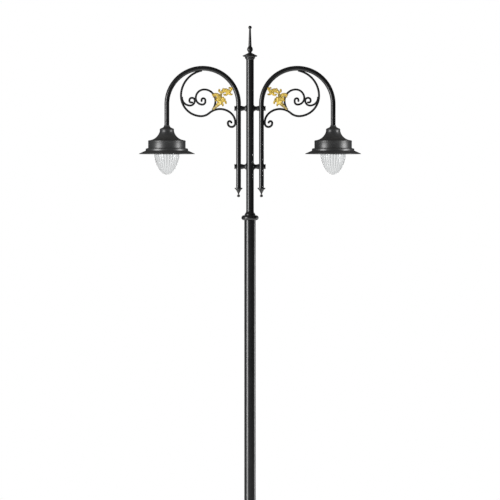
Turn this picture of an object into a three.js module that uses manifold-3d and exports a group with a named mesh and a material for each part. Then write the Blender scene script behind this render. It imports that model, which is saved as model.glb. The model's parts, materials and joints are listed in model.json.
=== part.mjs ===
// A street lamp post with two swan-neck arms, scrolled brackets and two hanging lanterns.
// Millimetres, +Z up, origin on the ground at the middle of the foot.
// The arms spread along X, and -Y is the front.
import * as THREE from 'three';
import { mergeVertices } from 'three/addons/utils/BufferGeometryUtils.js';
import Module from 'manifold-3d';

const wasm = await Module();
wasm.setup();

// Clearance between pieces that touch.
const GAP = 0.3;

// The post.
const BASE_COLUMN = { radius: 84.15, wall: 5, bottom: 20.3, socket: 600, collar: 640 };
const LOWER_SHAFT = { radius: 57.15, wall: 4, top: 3575 };
const UPPER_SHAFT = { radius: 38.05, wall: 3.2, bottom: 3500, top: 5175 };
const COLLAR_BEAD = { low: 3555, high: 3604, radius: 86 };
const TOP_CAP = { low: 5157, high: 5229 };
const FINIAL = { tip: 5500, ball: 17.5 };

// The base plate, its cover and its door.
const PLATE = { radius: 190, thickness: 20, cableHole: 60, boltHole: 13, boltCircle: 150, bolts: 4 };
const COVER = { radius: 225, foot: 28, top: 150, bore: 84.45 };
const DOORWAY = { width: 110, low: 180, high: 590 };
const DOOR = { thickness: 3, halfAngle: 47, low: 172, high: 598 };
const DOOR_PIN = { radius: 4, angle: 54, fromAxis: 93, low: 205, high: 565 };
const KNUCKLE = { radius: 7.5, length: 40, heights: [250, 520] };
const LOCK = { angle: -32, height: 385, radius: 10, camReach: 25, camFromAxis: 67 };

// The arms and what ties them to the post.
const ARM = { radius: 24.15, wall: 3, spigot: 20.1, innerX: 114.5, outerX: 831.3, spring: 4716, low: 3879.3, high: 4506.3 };
const ARM_SPAN = (ARM.outerX - ARM.innerX) / 2;
const TIE_HEIGHTS = { upper: 4673, lower: 4091 };
const TIE = { radius: 8, reach: 152, wireway: 16 };
const CABLE = { radius: 3.25, x: 8, y: 12, offset: 4.5, bend: 26, low: 520, high: 4328 };

// Round bar of the scrollwork.
const BAR = { outer: 10, inner: 9.3, small: 9.3 };

// The gilt leaf, lobe by lobe: spine points (X, Z), half widths at root, belly and tip, and depth in Y.
const LEAF_FORWARD = 6.5;
const LEAF_LOBES = [
  { spine: [[372, 4662], [352, 4684], [324, 4702], [305, 4730]], widths: [10, 10, 18], depth: 10 },
  { spine: [[306, 4718], [297, 4745], [301, 4768], [292, 4800]], widths: [17, 33, 9], depth: 16 },
  { spine: [[296, 4766], [308, 4806], [342, 4820], [372, 4808]], widths: [16, 18, 8], depth: 12 },
  { spine: [[356, 4810], [354, 4800], [358, 4792], [366, 4788]], widths: [9, 8, 6], depth: 9 },
  { spine: [[330, 4804], [320, 4786], [326, 4774], [340, 4776]], widths: [9, 8, 6], depth: 9 },
  { spine: [[310, 4766], [322, 4760], [336, 4758], [342, 4750]], widths: [12, 9, 7], depth: 10 },
  { spine: [[294, 4790], [291, 4808], [288, 4824], [284, 4838]], widths: [11, 8, 10], depth: 10 },
  { spine: [[286, 4832], [300, 4836], [314, 4842], [307, 4858]], widths: [8, 8, 8], depth: 9 },
  { spine: [[280, 4838], [272, 4850], [268, 4860], [267, 4868]], widths: [10, 9, 7], depth: 9 },
  { spine: [[284, 4828], [268, 4858], [236, 4862], [206, 4834]], widths: [11, 22, 12], depth: 12 },
  { spine: [[224, 4836], [228, 4812], [246, 4800], [260, 4812]], widths: [13, 9, 7], depth: 10 },
  { spine: [[216, 4838], [206, 4816], [194, 4808], [180, 4814]], widths: [12, 9, 6], depth: 10 },
  { spine: [[224, 4850], [206, 4842], [190, 4850], [182, 4876]], widths: [12, 13, 8], depth: 10 },
  { spine: [[192, 4862], [192, 4878], [202, 4884], [209, 4876]], widths: [8, 7, 6], depth: 9 },
  { spine: [[288, 4752], [276, 4762], [270, 4774], [268, 4784]], widths: [12, 10, 6], depth: 10 },
  { spine: [[290, 4758], [276, 4768], [262, 4774], [250, 4764]], widths: [12, 10, 6], depth: 10 },
  { spine: [[294, 4730], [272, 4756], [246, 4758], [241, 4726]], widths: [15, 10, 8], depth: 11 },
  { spine: [[294, 4724], [278, 4722], [270, 4714], [272, 4702]], widths: [12, 9, 7], depth: 10 },
  { spine: [[312, 4718], [322, 4720], [326, 4714], [325, 4708]], widths: [9, 7, 6], depth: 9 },
];

// The lantern, from the neck down to the tip of the bowl.
const NECK = { bore: 17, spigotTop: 4540, throat: 28, flange: 71.4, flangeLow: 4452 };
const SHELL_WALL = 3;
const DRUM = { radius: 187, high: 4344.7, ledge: 212.4, low: 4250, mouth: 182 };
const BRIM = { hub: 158, shoulder: 215, tip: 280, high: 4249.7, lip: 4219, low: 4216.5 };
const TRAY = { low: 4292, thickness: 3 };
const BOWL = { radius: 126, rim: 127.2, high: 4216, tip: 4011, wall: 4, swell: 1.6 };
const RING = { low: 4230, high: 4238, inner: 127.6, outer: 146, lip: 136, step: 3 };
const BOWL_PIN = { radius: 3, y: 165, z: 4234, halfLength: 22 };
const LATCH = { y: -171, stem: 4, knob: 8, grip: 10.4, head: 7, tongue: 20, play: 1, low: 4219 };

const BLACK = { color: 0x1b1c1e, roughness: 0.42, metalness: 0.55 };
const CAST_BLACK = { color: 0x1f2021, roughness: 0.5, metalness: 0.5 };
const GOLD = { color: 0xc79a3a, roughness: 0.38, metalness: 0.85 };
const GLASS = { color: 0xe4ebee, roughness: 0.12, metalness: 0.0 };
const ZINC = { color: 0xa9adb1, roughness: 0.4, metalness: 0.9 };
const ALUMINIUM = { color: 0xc9cccf, roughness: 0.45, metalness: 0.8 };
const WHITE_PAINT = { color: 0xe9e9e6, roughness: 0.55, metalness: 0.0 };
const GREY_PLASTIC = { color: 0x56595d, roughness: 0.6, metalness: 0.0 };
const CABLE_JACKET = { color: 0x151515, roughness: 0.7, metalness: 0.0 };

const rad = THREE.MathUtils.degToRad;

// ---- Shared shapes ----

function circlePoints(radius, sides) {
  return Array.from({ length: sides }, (_, i) => {
    const angle = (2 * Math.PI * i) / sides;
    return new THREE.Vector2(radius * Math.cos(angle), radius * Math.sin(angle));
  });
}

function discShape(radius, sides) {
  return new THREE.Shape(circlePoints(radius, sides));
}

function ringShape(outer, inner, sides) {
  const shape = discShape(outer, sides);
  shape.holes.push(new THREE.Path(circlePoints(inner, sides).reverse()));
  return shape;
}

// A plate of the given outline, standing on z = low.
function plate(shape, low, thickness) {
  const geometry = new THREE.ExtrudeGeometry(shape, { depth: thickness, bevelEnabled: false, curveSegments: 4 });
  return geometry.translate(0, 0, low);
}

// A tube or disc standing on z = low.
function upright(shape, low, high) {
  return plate(shape, low, high - low);
}

// A turned piece. Its profile runs up the outside and down the inside, in (radius, height).
function turned(profile, sides = 24, curveSteps = 5) {
  const geometry = new THREE.LatheGeometry(profile.getPoints(curveSteps), sides);
  return geometry.rotateX(Math.PI / 2);
}

function profile(...points) {
  const path = new THREE.Path();
  path.moveTo(...points[0]);
  for (const point of points.slice(1)) path.lineTo(...point);
  return path;
}

function block(size, centre) {
  return new THREE.BoxGeometry(...size).translate(...centre);
}

// A round rod along X, centred on the given point.
function crossRod(radius, length, centre, sides = 16) {
  const rod = new THREE.CylinderGeometry(radius, radius, length, sides);
  return rod.rotateZ(Math.PI / 2).translate(...centre);
}

// A flat curve in a plane of constant y: straight runs [length] and arcs [radius, turn in degrees]
// that join without a kink. A turn to the left is positive. Steps follow the turning.
class ArcChain extends THREE.Curve {
  constructor(start, heading, runs, { y = 0, stepAngle = 12 } = {}) {
    super();
    this.y = y;
    this.pieces = [];
    this.steps = 0;
    let point = new THREE.Vector2(...start);
    let direction = rad(heading);
    for (const [size, turn = 0] of runs) {
      const piece = { point, direction, size, turn: rad(turn), first: this.steps };
      piece.count = Math.max(1, Math.ceil(Math.abs(turn) / stepAngle));
      this.pieces.push(piece);
      this.steps += piece.count;
      point = ArcChain.along(piece, 1);
      direction += piece.turn;
    }
  }

  static along({ point, direction, size, turn }, part) {
    if (turn === 0) {
      const step = new THREE.Vector2(Math.cos(direction), Math.sin(direction));
      return point.clone().addScaledVector(step, size * part);
    }
    const side = Math.sign(turn);
    const toCentre = direction + (side * Math.PI) / 2;
    const centre = point.clone().add(new THREE.Vector2(Math.cos(toCentre), Math.sin(toCentre)).multiplyScalar(size));
    const angle = toCentre + Math.PI + turn * part;
    return centre.add(new THREE.Vector2(Math.cos(angle), Math.sin(angle)).multiplyScalar(size));
  }

  getPoint(t) {
    const step = Math.min(Math.max(t, 0), 1) * this.steps;
    const piece = this.pieces.findLast((candidate) => candidate.first <= step);
    const { x, y } = ArcChain.along(piece, (step - piece.first) / piece.count);
    return new THREE.Vector3(x, this.y, y);
  }

  getUtoTmapping(u) {
    return u;
  }
}

function swept(shape, path) {
  return new THREE.ExtrudeGeometry(shape, { steps: path.steps, bevelEnabled: false, extrudePath: path });
}

// ---- Cutting and joining ----

function solid(geometry) {
  const bare = geometry.clone();
  bare.deleteAttribute('normal');
  bare.deleteAttribute('uv');
  const merged = mergeVertices(bare, 1e-3);
  const corners = Array.from(merged.index.array);
  const kept = [];
  for (let i = 0; i < corners.length; i += 3) {
    const [a, b, c] = corners.slice(i, i + 3);
    if (a !== b && b !== c && c !== a) kept.push(a, b, c);
  }
  const vertProperties = new Float32Array(merged.attributes.position.array);
  return new wasm.Manifold(new wasm.Mesh({ numProp: 3, vertProperties, triVerts: new Uint32Array(kept) }));
}

function geometryOf(body) {
  const { vertProperties, triVerts } = body.getMesh();
  const geometry = new THREE.BufferGeometry();
  geometry.setAttribute('position', new THREE.BufferAttribute(vertProperties, 3));
  geometry.setIndex(new THREE.BufferAttribute(triVerts, 1));
  return geometry;
}

function cut(geometry, ...tools) {
  return geometryOf(tools.reduce((body, tool) => body.subtract(solid(tool)), solid(geometry)));
}

function join(geometry, ...others) {
  return geometryOf(others.reduce((body, other) => body.add(solid(other)), solid(geometry)));
}

function piece(name, geometry, look) {
  const mesh = new THREE.Mesh(geometry, new THREE.MeshStandardMaterial(look));
  mesh.name = name;
  return mesh;
}

// ---- Base ----

function basePlate() {
  const shape = discShape(PLATE.radius, 40);
  shape.holes.push(new THREE.Path(circlePoints(PLATE.cableHole, 24).reverse()));
  for (let i = 0; i < PLATE.bolts; i += 1) {
    const angle = rad(45 + (360 * i) / PLATE.bolts);
    const x = PLATE.boltCircle * Math.cos(angle);
    const y = PLATE.boltCircle * Math.sin(angle);
    const hole = circlePoints(PLATE.boltHole, 12).map((point) => point.add(new THREE.Vector2(x, y)));
    shape.holes.push(new THREE.Path(hole.reverse()));
  }
  return upright(shape, 0, PLATE.thickness);
}

// A cast skirt that hides the plate and the anchor nuts.
function baseCover() {
  const wall = 6;
  const path = new THREE.Path();
  path.moveTo(COVER.radius - wall, 0);
  path.lineTo(COVER.radius, 0);
  path.lineTo(COVER.radius, COVER.foot);
  path.quadraticCurveTo(COVER.radius - 2, COVER.foot + 16, COVER.radius - 28, COVER.foot + 20);
  path.quadraticCurveTo(112, 62, 102, 118);
  path.lineTo(102, COVER.top - 14);
  path.quadraticCurveTo(102, COVER.top, COVER.bore + 6, COVER.top);
  path.lineTo(COVER.bore, COVER.top);
  path.lineTo(COVER.bore, 126);
  path.lineTo(94, 118);
  path.quadraticCurveTo(106, 52, COVER.radius - 32, COVER.foot + 13);
  path.quadraticCurveTo(COVER.radius - wall - 3, COVER.foot + 8, COVER.radius - wall, COVER.foot);
  path.closePath();
  return turned(path, 24, 2);
}

function doorPinCentre() {
  const angle = rad(DOOR_PIN.angle);
  return [DOOR_PIN.fromAxis * Math.sin(angle), -DOOR_PIN.fromAxis * Math.cos(angle)];
}

// A lug welded to the column, drilled for the door's pin.
function doorLug(height) {
  const [x, y] = doorPinCentre();
  const middle = (BASE_COLUMN.radius + DOOR_PIN.fromAxis) / 2;
  const lug = block([DOOR_PIN.fromAxis - BASE_COLUMN.radius + 6, 14, 8], [middle, 0, height]);
  const eye = upright(discShape(7.5, 12), height - 4, height + 4).translate(x, y, 0);
  return join(lug.rotateZ(rad(DOOR_PIN.angle - 90)), eye);
}

// The service compartment, with the beaded collar that carries the lower shaft.
function baseColumn() {
  const inside = BASE_COLUMN.radius - BASE_COLUMN.wall;
  const bore = LOWER_SHAFT.radius + GAP;
  const bead = 25;
  const path = new THREE.Path();
  path.moveTo(inside, BASE_COLUMN.bottom);
  path.lineTo(BASE_COLUMN.radius, BASE_COLUMN.bottom);
  path.lineTo(BASE_COLUMN.radius, BASE_COLUMN.collar);
  path.absarc(BASE_COLUMN.radius + 3, BASE_COLUMN.collar + bead, bead, -Math.PI / 2, Math.PI / 2, false);
  path.lineTo(80, BASE_COLUMN.collar + 2 * bead + 4);
  path.quadraticCurveTo(78, 716, 66, 722);
  path.quadraticCurveTo(60, 726, bore, 735);
  path.lineTo(bore, BASE_COLUMN.socket);
  path.lineTo(50, BASE_COLUMN.socket);
  path.lineTo(50, BASE_COLUMN.socket - 6);
  path.lineTo(inside, BASE_COLUMN.socket - 6);
  path.closePath();
  const doorway = block(
    [DOORWAY.width, 100, DOORWAY.high - DOORWAY.low],
    [0, -80, (DOORWAY.high + DOORWAY.low) / 2],
  );
  const lugOffset = KNUCKLE.length / 2 + 4 + GAP;
  const lugs = KNUCKLE.heights.flatMap((height) => [doorLug(height - lugOffset), doorLug(height + lugOffset)]);
  const [x, y] = doorPinCentre();
  const pinHole = upright(discShape(DOOR_PIN.radius + GAP, 12), DOOR_PIN.low - 5, DOOR_PIN.high + 5);
  return cut(join(turned(path, 24, 2), ...lugs), doorway, pinHole.translate(x, y, 0));
}

// A curved door over the doorway, with two hinge knuckles.
function accessDoor() {
  const inner = BASE_COLUMN.radius + GAP;
  const outer = inner + DOOR.thickness;
  const from = rad(-90 - DOOR.halfAngle);
  const to = rad(-90 + DOOR.halfAngle);
  const shape = new THREE.Shape();
  shape.absarc(0, 0, outer, from, to, false);
  shape.absarc(0, 0, inner, to, from, true);
  const panel = new THREE.ExtrudeGeometry(shape, {
    depth: DOOR.high - DOOR.low, bevelEnabled: false, curveSegments: 6,
  }).translate(0, 0, DOOR.low);
  const [x, y] = doorPinCentre();
  const knuckles = KNUCKLE.heights.flatMap((height) => {
    const low = height - KNUCKLE.length / 2;
    const barrel = upright(discShape(KNUCKLE.radius, 12), low, low + KNUCKLE.length).translate(x, y, 0);
    const strap = block([18, 5, KNUCKLE.length], [0, -outer - 1, height]).rotateZ(rad(DOOR_PIN.angle - 5.5));
    return [barrel, strap];
  });
  const pinHole = upright(discShape(DOOR_PIN.radius + GAP, 12), DOOR_PIN.low - 5, DOOR_PIN.high + 5);
  const lockHole = lockRod(LOCK.radius + GAP, inner - 20, outer + 20);
  return cut(join(panel, ...knuckles), pinHole.translate(x, y, 0), lockHole);
}

// A rod through the door along the lock's axis, between two distances from the post's axis.
function lockRod(radius, near, far, sides = 16) {
  const rod = new THREE.CylinderGeometry(radius, radius, far - near, sides);
  return rod.translate(0, -(near + far) / 2, 0).rotateZ(rad(LOCK.angle)).translate(0, 0, LOCK.height);
}

// A triangular-key lock: face, barrel and cam, with the cam upright, which is unlocked.
function doorLock() {
  const face = BASE_COLUMN.radius + DOOR.thickness + 2 * GAP;
  const flange = lockRod(LOCK.radius + 4, face, face + 2.5, 20);
  const barrel = lockRod(LOCK.radius, LOCK.camFromAxis + 1, face + 1, 16);
  const keyWell = lockRod(5, face - 8, face + 5, 3);
  const cam = block([8, 3, 2 * LOCK.camReach], [0, -LOCK.camFromAxis, 0]).rotateZ(rad(LOCK.angle));
  return cut(join(flange, barrel, cam.translate(0, 0, LOCK.height)), keyWell);
}

function doorPin() {
  const [x, y] = doorPinCentre();
  const pin = upright(discShape(DOOR_PIN.radius, 12), DOOR_PIN.low, DOOR_PIN.high);
  const head = upright(discShape(DOOR_PIN.radius + 2.5, 12), DOOR_PIN.high - 1, DOOR_PIN.high + 3);
  return join(pin, head).translate(x, y, 0);
}

// The cut-out box on its mounting rail, fixed inside the compartment.
function fuseBox() {
  const box = block([64, 44, 150], [0, 16, 430]);
  const lid = block([56, 6, 120], [0, -8, 430]);
  const rail = block([30, 5, 330], [0, 40.3, 400]);
  const lowerBracket = block([30, 38, 5], [0, 57, 250]);
  const upperBracket = block([30, 38, 5], [0, 57, 550]);
  const gland = upright(discShape(9, 12), 500, 516);
  const glands = [-1, 1].map((side) => gland.clone().translate(side * CABLE.x * 1.6, CABLE.y, 0));
  return join(box, lid, rail, lowerBracket, upperBracket, ...glands);
}

// ---- Shafts, collar, cap and finial ----

function lowerShaft() {
  const { radius, wall, top } = LOWER_SHAFT;
  return upright(ringShape(radius, radius - wall, 24), BASE_COLUMN.socket + GAP, top);
}

function upperShaft() {
  const { radius, wall, bottom, top } = UPPER_SHAFT;
  const tube = upright(ringShape(radius, radius - wall, 24), bottom + GAP, top);
  const openings = Object.values(TIE_HEIGHTS).map((z) => crossRod(TIE.wireway, 100, [0, 0, z]));
  return cut(tube, ...openings);
}

// The bead that covers the step between the shafts, with a spigot down into the lower one.
function shaftCollar() {
  const bore = UPPER_SHAFT.radius + GAP;
  const spigot = LOWER_SHAFT.radius - LOWER_SHAFT.wall - GAP;
  const sleeve = LOWER_SHAFT.radius + GAP;
  const half = (COLLAR_BEAD.high - COLLAR_BEAD.low) / 2;
  const path = new THREE.Path();
  path.moveTo(34, UPPER_SHAFT.bottom - 6);
  path.lineTo(spigot, UPPER_SHAFT.bottom - 6);
  path.lineTo(spigot, LOWER_SHAFT.top + GAP);
  path.lineTo(sleeve, LOWER_SHAFT.top + GAP);
  path.lineTo(sleeve, COLLAR_BEAD.low);
  path.absarc(COLLAR_BEAD.radius - half, COLLAR_BEAD.low + half, half, -Math.PI / 2, Math.PI / 2, false);
  path.lineTo(54, COLLAR_BEAD.high + 1);
  path.quadraticCurveTo(54, 3619, 47, 3624);
  path.quadraticCurveTo(41, 3630, bore, 3643);
  path.lineTo(bore, UPPER_SHAFT.bottom);
  path.lineTo(34, UPPER_SHAFT.bottom);
  path.closePath();
  return turned(path, 24, 2);
}

function topCap() {
  const bore = UPPER_SHAFT.radius + GAP;
  const path = new THREE.Path();
  path.moveTo(0, UPPER_SHAFT.top + GAP);
  path.lineTo(bore, UPPER_SHAFT.top + GAP);
  path.lineTo(bore, TOP_CAP.low);
  path.quadraticCurveTo(41, 5168, 50, 5172);
  path.lineTo(50, 5178);
  path.quadraticCurveTo(48, 5186, 60, 5190);
  path.lineTo(70, 5192);
  path.quadraticCurveTo(76, 5198, 70, 5203);
  path.quadraticCurveTo(46, 5212, 17, TOP_CAP.high);
  path.lineTo(0, TOP_CAP.high);
  return turned(path, 24, 2);
}

function finial() {
  const path = new THREE.Path();
  const low = TOP_CAP.high + GAP;
  path.moveTo(0, low);
  path.lineTo(17, low);
  path.quadraticCurveTo(15, 5237, 20, 5241);
  path.quadraticCurveTo(29, 5250, 29, 5263);
  path.quadraticCurveTo(29, 5276, 20, 5287);
  path.quadraticCurveTo(15, 5293, 16, 5299);
  path.lineTo(9, 5465);
  path.absarc(0, FINIAL.tip - FINIAL.ball, FINIAL.ball, -1.03, Math.PI / 2, false);
  return turned(path, 14, 2);
}

// ---- Arms and ties ----

// The middle line of the right arm, from its lower end over the arch and down to the lantern.
function armLine() {
  const runs = [[ARM.spring - ARM.low], [ARM_SPAN, -180], [ARM.spring - ARM.high]];
  return new ArcChain([ARM.innerX, ARM.low], 90, runs, { stepAngle: 18 });
}

function armTube() {
  const tube = swept(ringShape(ARM.radius, ARM.radius - ARM.wall, 12), armLine());
  const drills = Object.values(TIE_HEIGHTS).flatMap((z) => [
    crossRod(TIE.wireway, 24, [ARM.innerX - ARM.radius, 0, z]),
    crossRod(TIE.radius + GAP, 24, [ARM.innerX + ARM.radius, 0, z]),
  ]);
  return cut(tube, ...drills);
}

function armTip() {
  const path = new THREE.Path();
  path.moveTo(0, 3785);
  path.quadraticCurveTo(15, 3785, 15, 3798);
  path.quadraticCurveTo(15, 3811, 4.5, 3812);
  path.quadraticCurveTo(9, 3828, 17, 3842);
  path.quadraticCurveTo(24, 3860, 39, 3869);
  path.lineTo(39, ARM.low - GAP);
  path.lineTo(ARM.spigot, ARM.low - GAP);
  path.lineTo(ARM.spigot, 3905);
  path.lineTo(0, 3905);
  return turned(path, 12, 2);
}

// A spool between the shaft and an arm, hollowed to both and bored for the tie rod and cable.
function spacer(height) {
  const path = new THREE.Path();
  path.moveTo(TIE.wireway, 31);
  path.lineTo(45, 31);
  path.lineTo(44, 36);
  path.quadraticCurveTo(22, 42, 21, 57);
  path.quadraticCurveTo(21, 72, 26, 79);
  path.lineTo(26, 93);
  path.lineTo(TIE.wireway, 93);
  path.closePath();
  const spool = turned(path, 12, 2).rotateY(Math.PI / 2);
  const flattened = spool.scale(1, 0.62, 1).translate(0, 0, height);
  const shaft = upright(discShape(UPPER_SHAFT.radius + GAP, 24), height - 60, height + 60);
  const arm = upright(discShape(ARM.radius + GAP, 12), height - 60, height + 60).translate(ARM.innerX, 0, 0);
  const wireway = crossRod(TIE.wireway, 120, [62, 0, height]);
  return cut(flattened, shaft, arm, wireway);
}

// The dished cap that closes a tie on the outside of an arm.
function endCap(height) {
  const outer = ARM.innerX + ARM.radius;
  const path = new THREE.Path();
  path.moveTo(TIE.radius + GAP, outer - 4);
  path.lineTo(26, outer - 4);
  path.lineTo(26, outer + 5);
  path.quadraticCurveTo(21, outer + 7, 21, outer + 9);
  path.quadraticCurveTo(21, outer + 11, 26, outer + 12);
  path.lineTo(26, outer + 15);
  path.quadraticCurveTo(25, outer + 18, 20, outer + 18);
  path.lineTo(TIE.radius + GAP, outer + 13);
  path.closePath();
  const cap = turned(path, 16, 1).rotateY(Math.PI / 2).translate(0, 0, height);
  const arm = upright(discShape(ARM.radius + GAP, 12), height - 60, height + 60).translate(ARM.innerX, 0, 0);
  return cut(cap, arm);
}

// One cable, from the cut-out box up the shafts, through the upper spacer and over the arch.
function lanternCable() {
  const legX = ARM.innerX + CABLE.offset;
  const { bend } = CABLE;
  const tie = TIE_HEIGHTS.upper;
  const runs = [
    [tie - bend - CABLE.low],
    [bend, -90],
    [legX - CABLE.x - 2 * bend],
    [bend, 90],
    [ARM.spring - tie - bend],
    [ARM_SPAN - CABLE.offset, -180],
    [ARM.spring - CABLE.high],
  ];
  const line = new ArcChain([CABLE.x, CABLE.low], 90, runs, { y: CABLE.y, stepAngle: 25 });
  return swept(discShape(CABLE.radius, 6), line);
}

// ---- Scrollwork ----

// The large scroll: off the arch, round under it, over a hump and into a volute by the arm.
function outerScrollLine() {
  const sweep = [[256, -79.5], [205, -86], [127.4, -45], [164, 86], [122, 45]];
  const runs = [...sweep, [8], [37, 180], [3], [18, 90], [16, 60], [6]];
  return new ArcChain([480.65, 5051.7], -10.5, runs, { stepAngle: 20 });
}

// The middle scroll, springing from the hump of the large one.
function innerScrollLine() {
  const runs = [[155, -36.1], [112, -90], [85, -90], [66, -90], [30, -90], [12], [21, -90], [17, -90], [10]];
  return new ArcChain([375.26, 4658.7], 126.1, runs, { stepAngle: 24 });
}

// The small scroll, springing from the far side of the large one.
function smallScrollLine() {
  const runs = [[80, -96], [47, -90], [5], [25, -90], [4], [24, -90], [6], [16, -90], [11]];
  return new ArcChain([679.56, 4789.9], -84, runs, { stepAngle: 24 });
}

function bar(line, radius) {
  return swept(discShape(radius, 6), line);
}

function armEnvelope() {
  return swept(discShape(ARM.radius + GAP, 12), armLine());
}

function outerScroll() {
  return cut(bar(outerScrollLine(), BAR.outer), armEnvelope());
}

function innerScroll() {
  return cut(bar(innerScrollLine(), BAR.inner), bar(outerScrollLine(), BAR.outer + GAP));
}

function smallScroll() {
  const neighbours = [bar(outerScrollLine(), BAR.outer + GAP), bar(innerScrollLine(), BAR.inner + GAP)];
  return cut(bar(smallScrollLine(), BAR.small), ...neighbours);
}

// One lobe of the leaf. Its spine is a cubic curve, its half width runs from root to belly to tip,
// and its tip is round.
function leafLobe({ spine, widths, depth }) {
  const curve = new THREE.CubicBezierCurve(...spine.map((point) => new THREE.Vector2(...point)));
  const [root, belly, tip] = widths;
  const steps = 6;
  const edge = (side) => Array.from({ length: steps + 1 }, (_, i) => {
    const t = i / steps;
    const half = root * (1 - t) ** 2 + 2 * belly * t * (1 - t) + tip * t ** 2;
    const along = curve.getTangent(t);
    return curve.getPoint(t).addScaledVector(new THREE.Vector2(-along.y, along.x), side * half);
  });
  const end = curve.getPoint(1);
  const onward = curve.getTangent(1);
  const round = [-45, 0, 45].map((turn) => {
    const outward = onward.clone().rotateAround(new THREE.Vector2(), rad(turn));
    return end.clone().addScaledVector(outward, tip);
  });
  const shape = new THREE.Shape([...edge(-1), ...round, ...edge(1).reverse()]);
  const lobe = new THREE.ExtrudeGeometry(shape, { depth, bevelEnabled: false });
  return lobe.rotateX(Math.PI / 2).translate(0, depth / 2 - LEAF_FORWARD, 0);
}

// The acanthus leaf that climbs the middle scroll up to the arch.
function leaf() {
  const neighbours = [
    armEnvelope(),
    bar(outerScrollLine(), BAR.outer + GAP),
    bar(innerScrollLine(), BAR.inner + GAP),
  ];
  return cut(join(...LEAF_LOBES.map(leafLobe)), ...neighbours);
}

// ---- Lantern, about its own axis ----

// The flared neck, with a spigot up into the end of the arm.
function lanternNeck() {
  const path = new THREE.Path();
  path.moveTo(NECK.bore, NECK.flangeLow);
  path.lineTo(NECK.flange, NECK.flangeLow);
  path.lineTo(NECK.flange, 4461);
  path.quadraticCurveTo(70, 4471, 58, 4475);
  path.quadraticCurveTo(36, 4482, 31, 4493);
  path.lineTo(NECK.throat, 4498);
  path.lineTo(NECK.throat, ARM.high - GAP);
  path.lineTo(ARM.spigot, ARM.high - GAP);
  path.lineTo(ARM.spigot, NECK.spigotTop);
  path.lineTo(NECK.bore, NECK.spigotTop);
  path.closePath();
  return turned(path, 18, 2);
}

// The bell-shaped hood.
function hood() {
  const top = NECK.flangeLow - GAP;
  const low = DRUM.high + GAP;
  const path = new THREE.Path();
  path.moveTo(DRUM.radius - SHELL_WALL, low);
  path.lineTo(DRUM.radius, low);
  path.quadraticCurveTo(DRUM.radius - 1, 4353, 178, 4354);
  path.bezierCurveTo(118, 4360, 80, 4404, 71.5, 4446);
  path.lineTo(71.4, top);
  path.lineTo(NECK.bore, top);
  path.lineTo(NECK.bore, top - SHELL_WALL);
  path.lineTo(69, top - SHELL_WALL);
  path.bezierCurveTo(77, 4401, 115, 4357, 177, 4351);
  path.quadraticCurveTo(DRUM.radius - SHELL_WALL, 4350, DRUM.radius - SHELL_WALL, low);
  path.closePath();
  return turned(path, 24, 2);
}

// The drum that holds the lighting gear, with a moulded ledge and an inward flange.
function drum() {
  const inside = DRUM.radius - SHELL_WALL;
  const path = new THREE.Path();
  path.moveTo(DRUM.mouth, DRUM.low);
  path.lineTo(DRUM.ledge, DRUM.low);
  path.quadraticCurveTo(212, 4268, 197, 4275);
  path.lineTo(DRUM.radius, 4277);
  path.lineTo(DRUM.radius, DRUM.high);
  path.lineTo(inside, DRUM.high);
  path.lineTo(inside, DRUM.low + SHELL_WALL);
  path.lineTo(DRUM.mouth, DRUM.low + SHELL_WALL);
  path.closePath();
  return turned(path, 24, 2);
}

// The wide brim, with hinge lugs at the back and a hole for the latch at the front.
function brim() {
  const path = profile(
    [BRIM.hub, BRIM.high - SHELL_WALL],
    [BRIM.shoulder - 1, BRIM.high - SHELL_WALL],
    [BRIM.tip - 4, BRIM.low],
    [BRIM.tip, BRIM.low],
    [BRIM.tip, BRIM.lip],
    [BRIM.shoulder, BRIM.high],
    [BRIM.hub, BRIM.high],
  );
  path.closePath();
  const under = BRIM.high - SHELL_WALL + 1;
  const lugs = [-1, 1].map((side) => block([5, 16, under - 4228], [side * 18, BOWL_PIN.y + 3, (under + 4228) / 2]));
  const pinHole = crossRod(BOWL_PIN.radius + GAP, 60, [0, BOWL_PIN.y, BOWL_PIN.z], 12);
  const stemHole = upright(discShape(LATCH.stem + GAP, 12), under - 10, BRIM.high + 10).translate(0, LATCH.y, 0);
  return cut(join(turned(path, 28), ...lugs), pinHole, stemHole);
}

function gearTray() {
  const shape = discShape(DRUM.radius - SHELL_WALL - GAP, 24);
  shape.holes.push(new THREE.Path(circlePoints(9, 12).reverse().map((p) => p.add(new THREE.Vector2(0, -60)))));
  return plate(shape, TRAY.low, TRAY.thickness);
}

function driver() {
  const low = TRAY.low + TRAY.thickness + GAP;
  return block([132, 64, 31], [0, 0, low + 15.5]);
}

// The light engine: a finned heat sink, the board and a shallow lens.
function ledModule() {
  const high = TRAY.low - GAP;
  const path = new THREE.Path();
  path.moveTo(0, 4254);
  path.quadraticCurveTo(50, 4255, 76, 4264);
  path.lineTo(88, 4264);
  path.lineTo(88, 4270);
  path.lineTo(82, 4272);
  path.lineTo(82, high);
  path.lineTo(0, high);
  return turned(path, 20, 2);
}

function reflector() {
  const path = profile([135, 4251], [138, 4251], [138, 4253], [96, 4289], [93, 4289]);
  path.closePath();
  return turned(path, 24);
}

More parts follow.
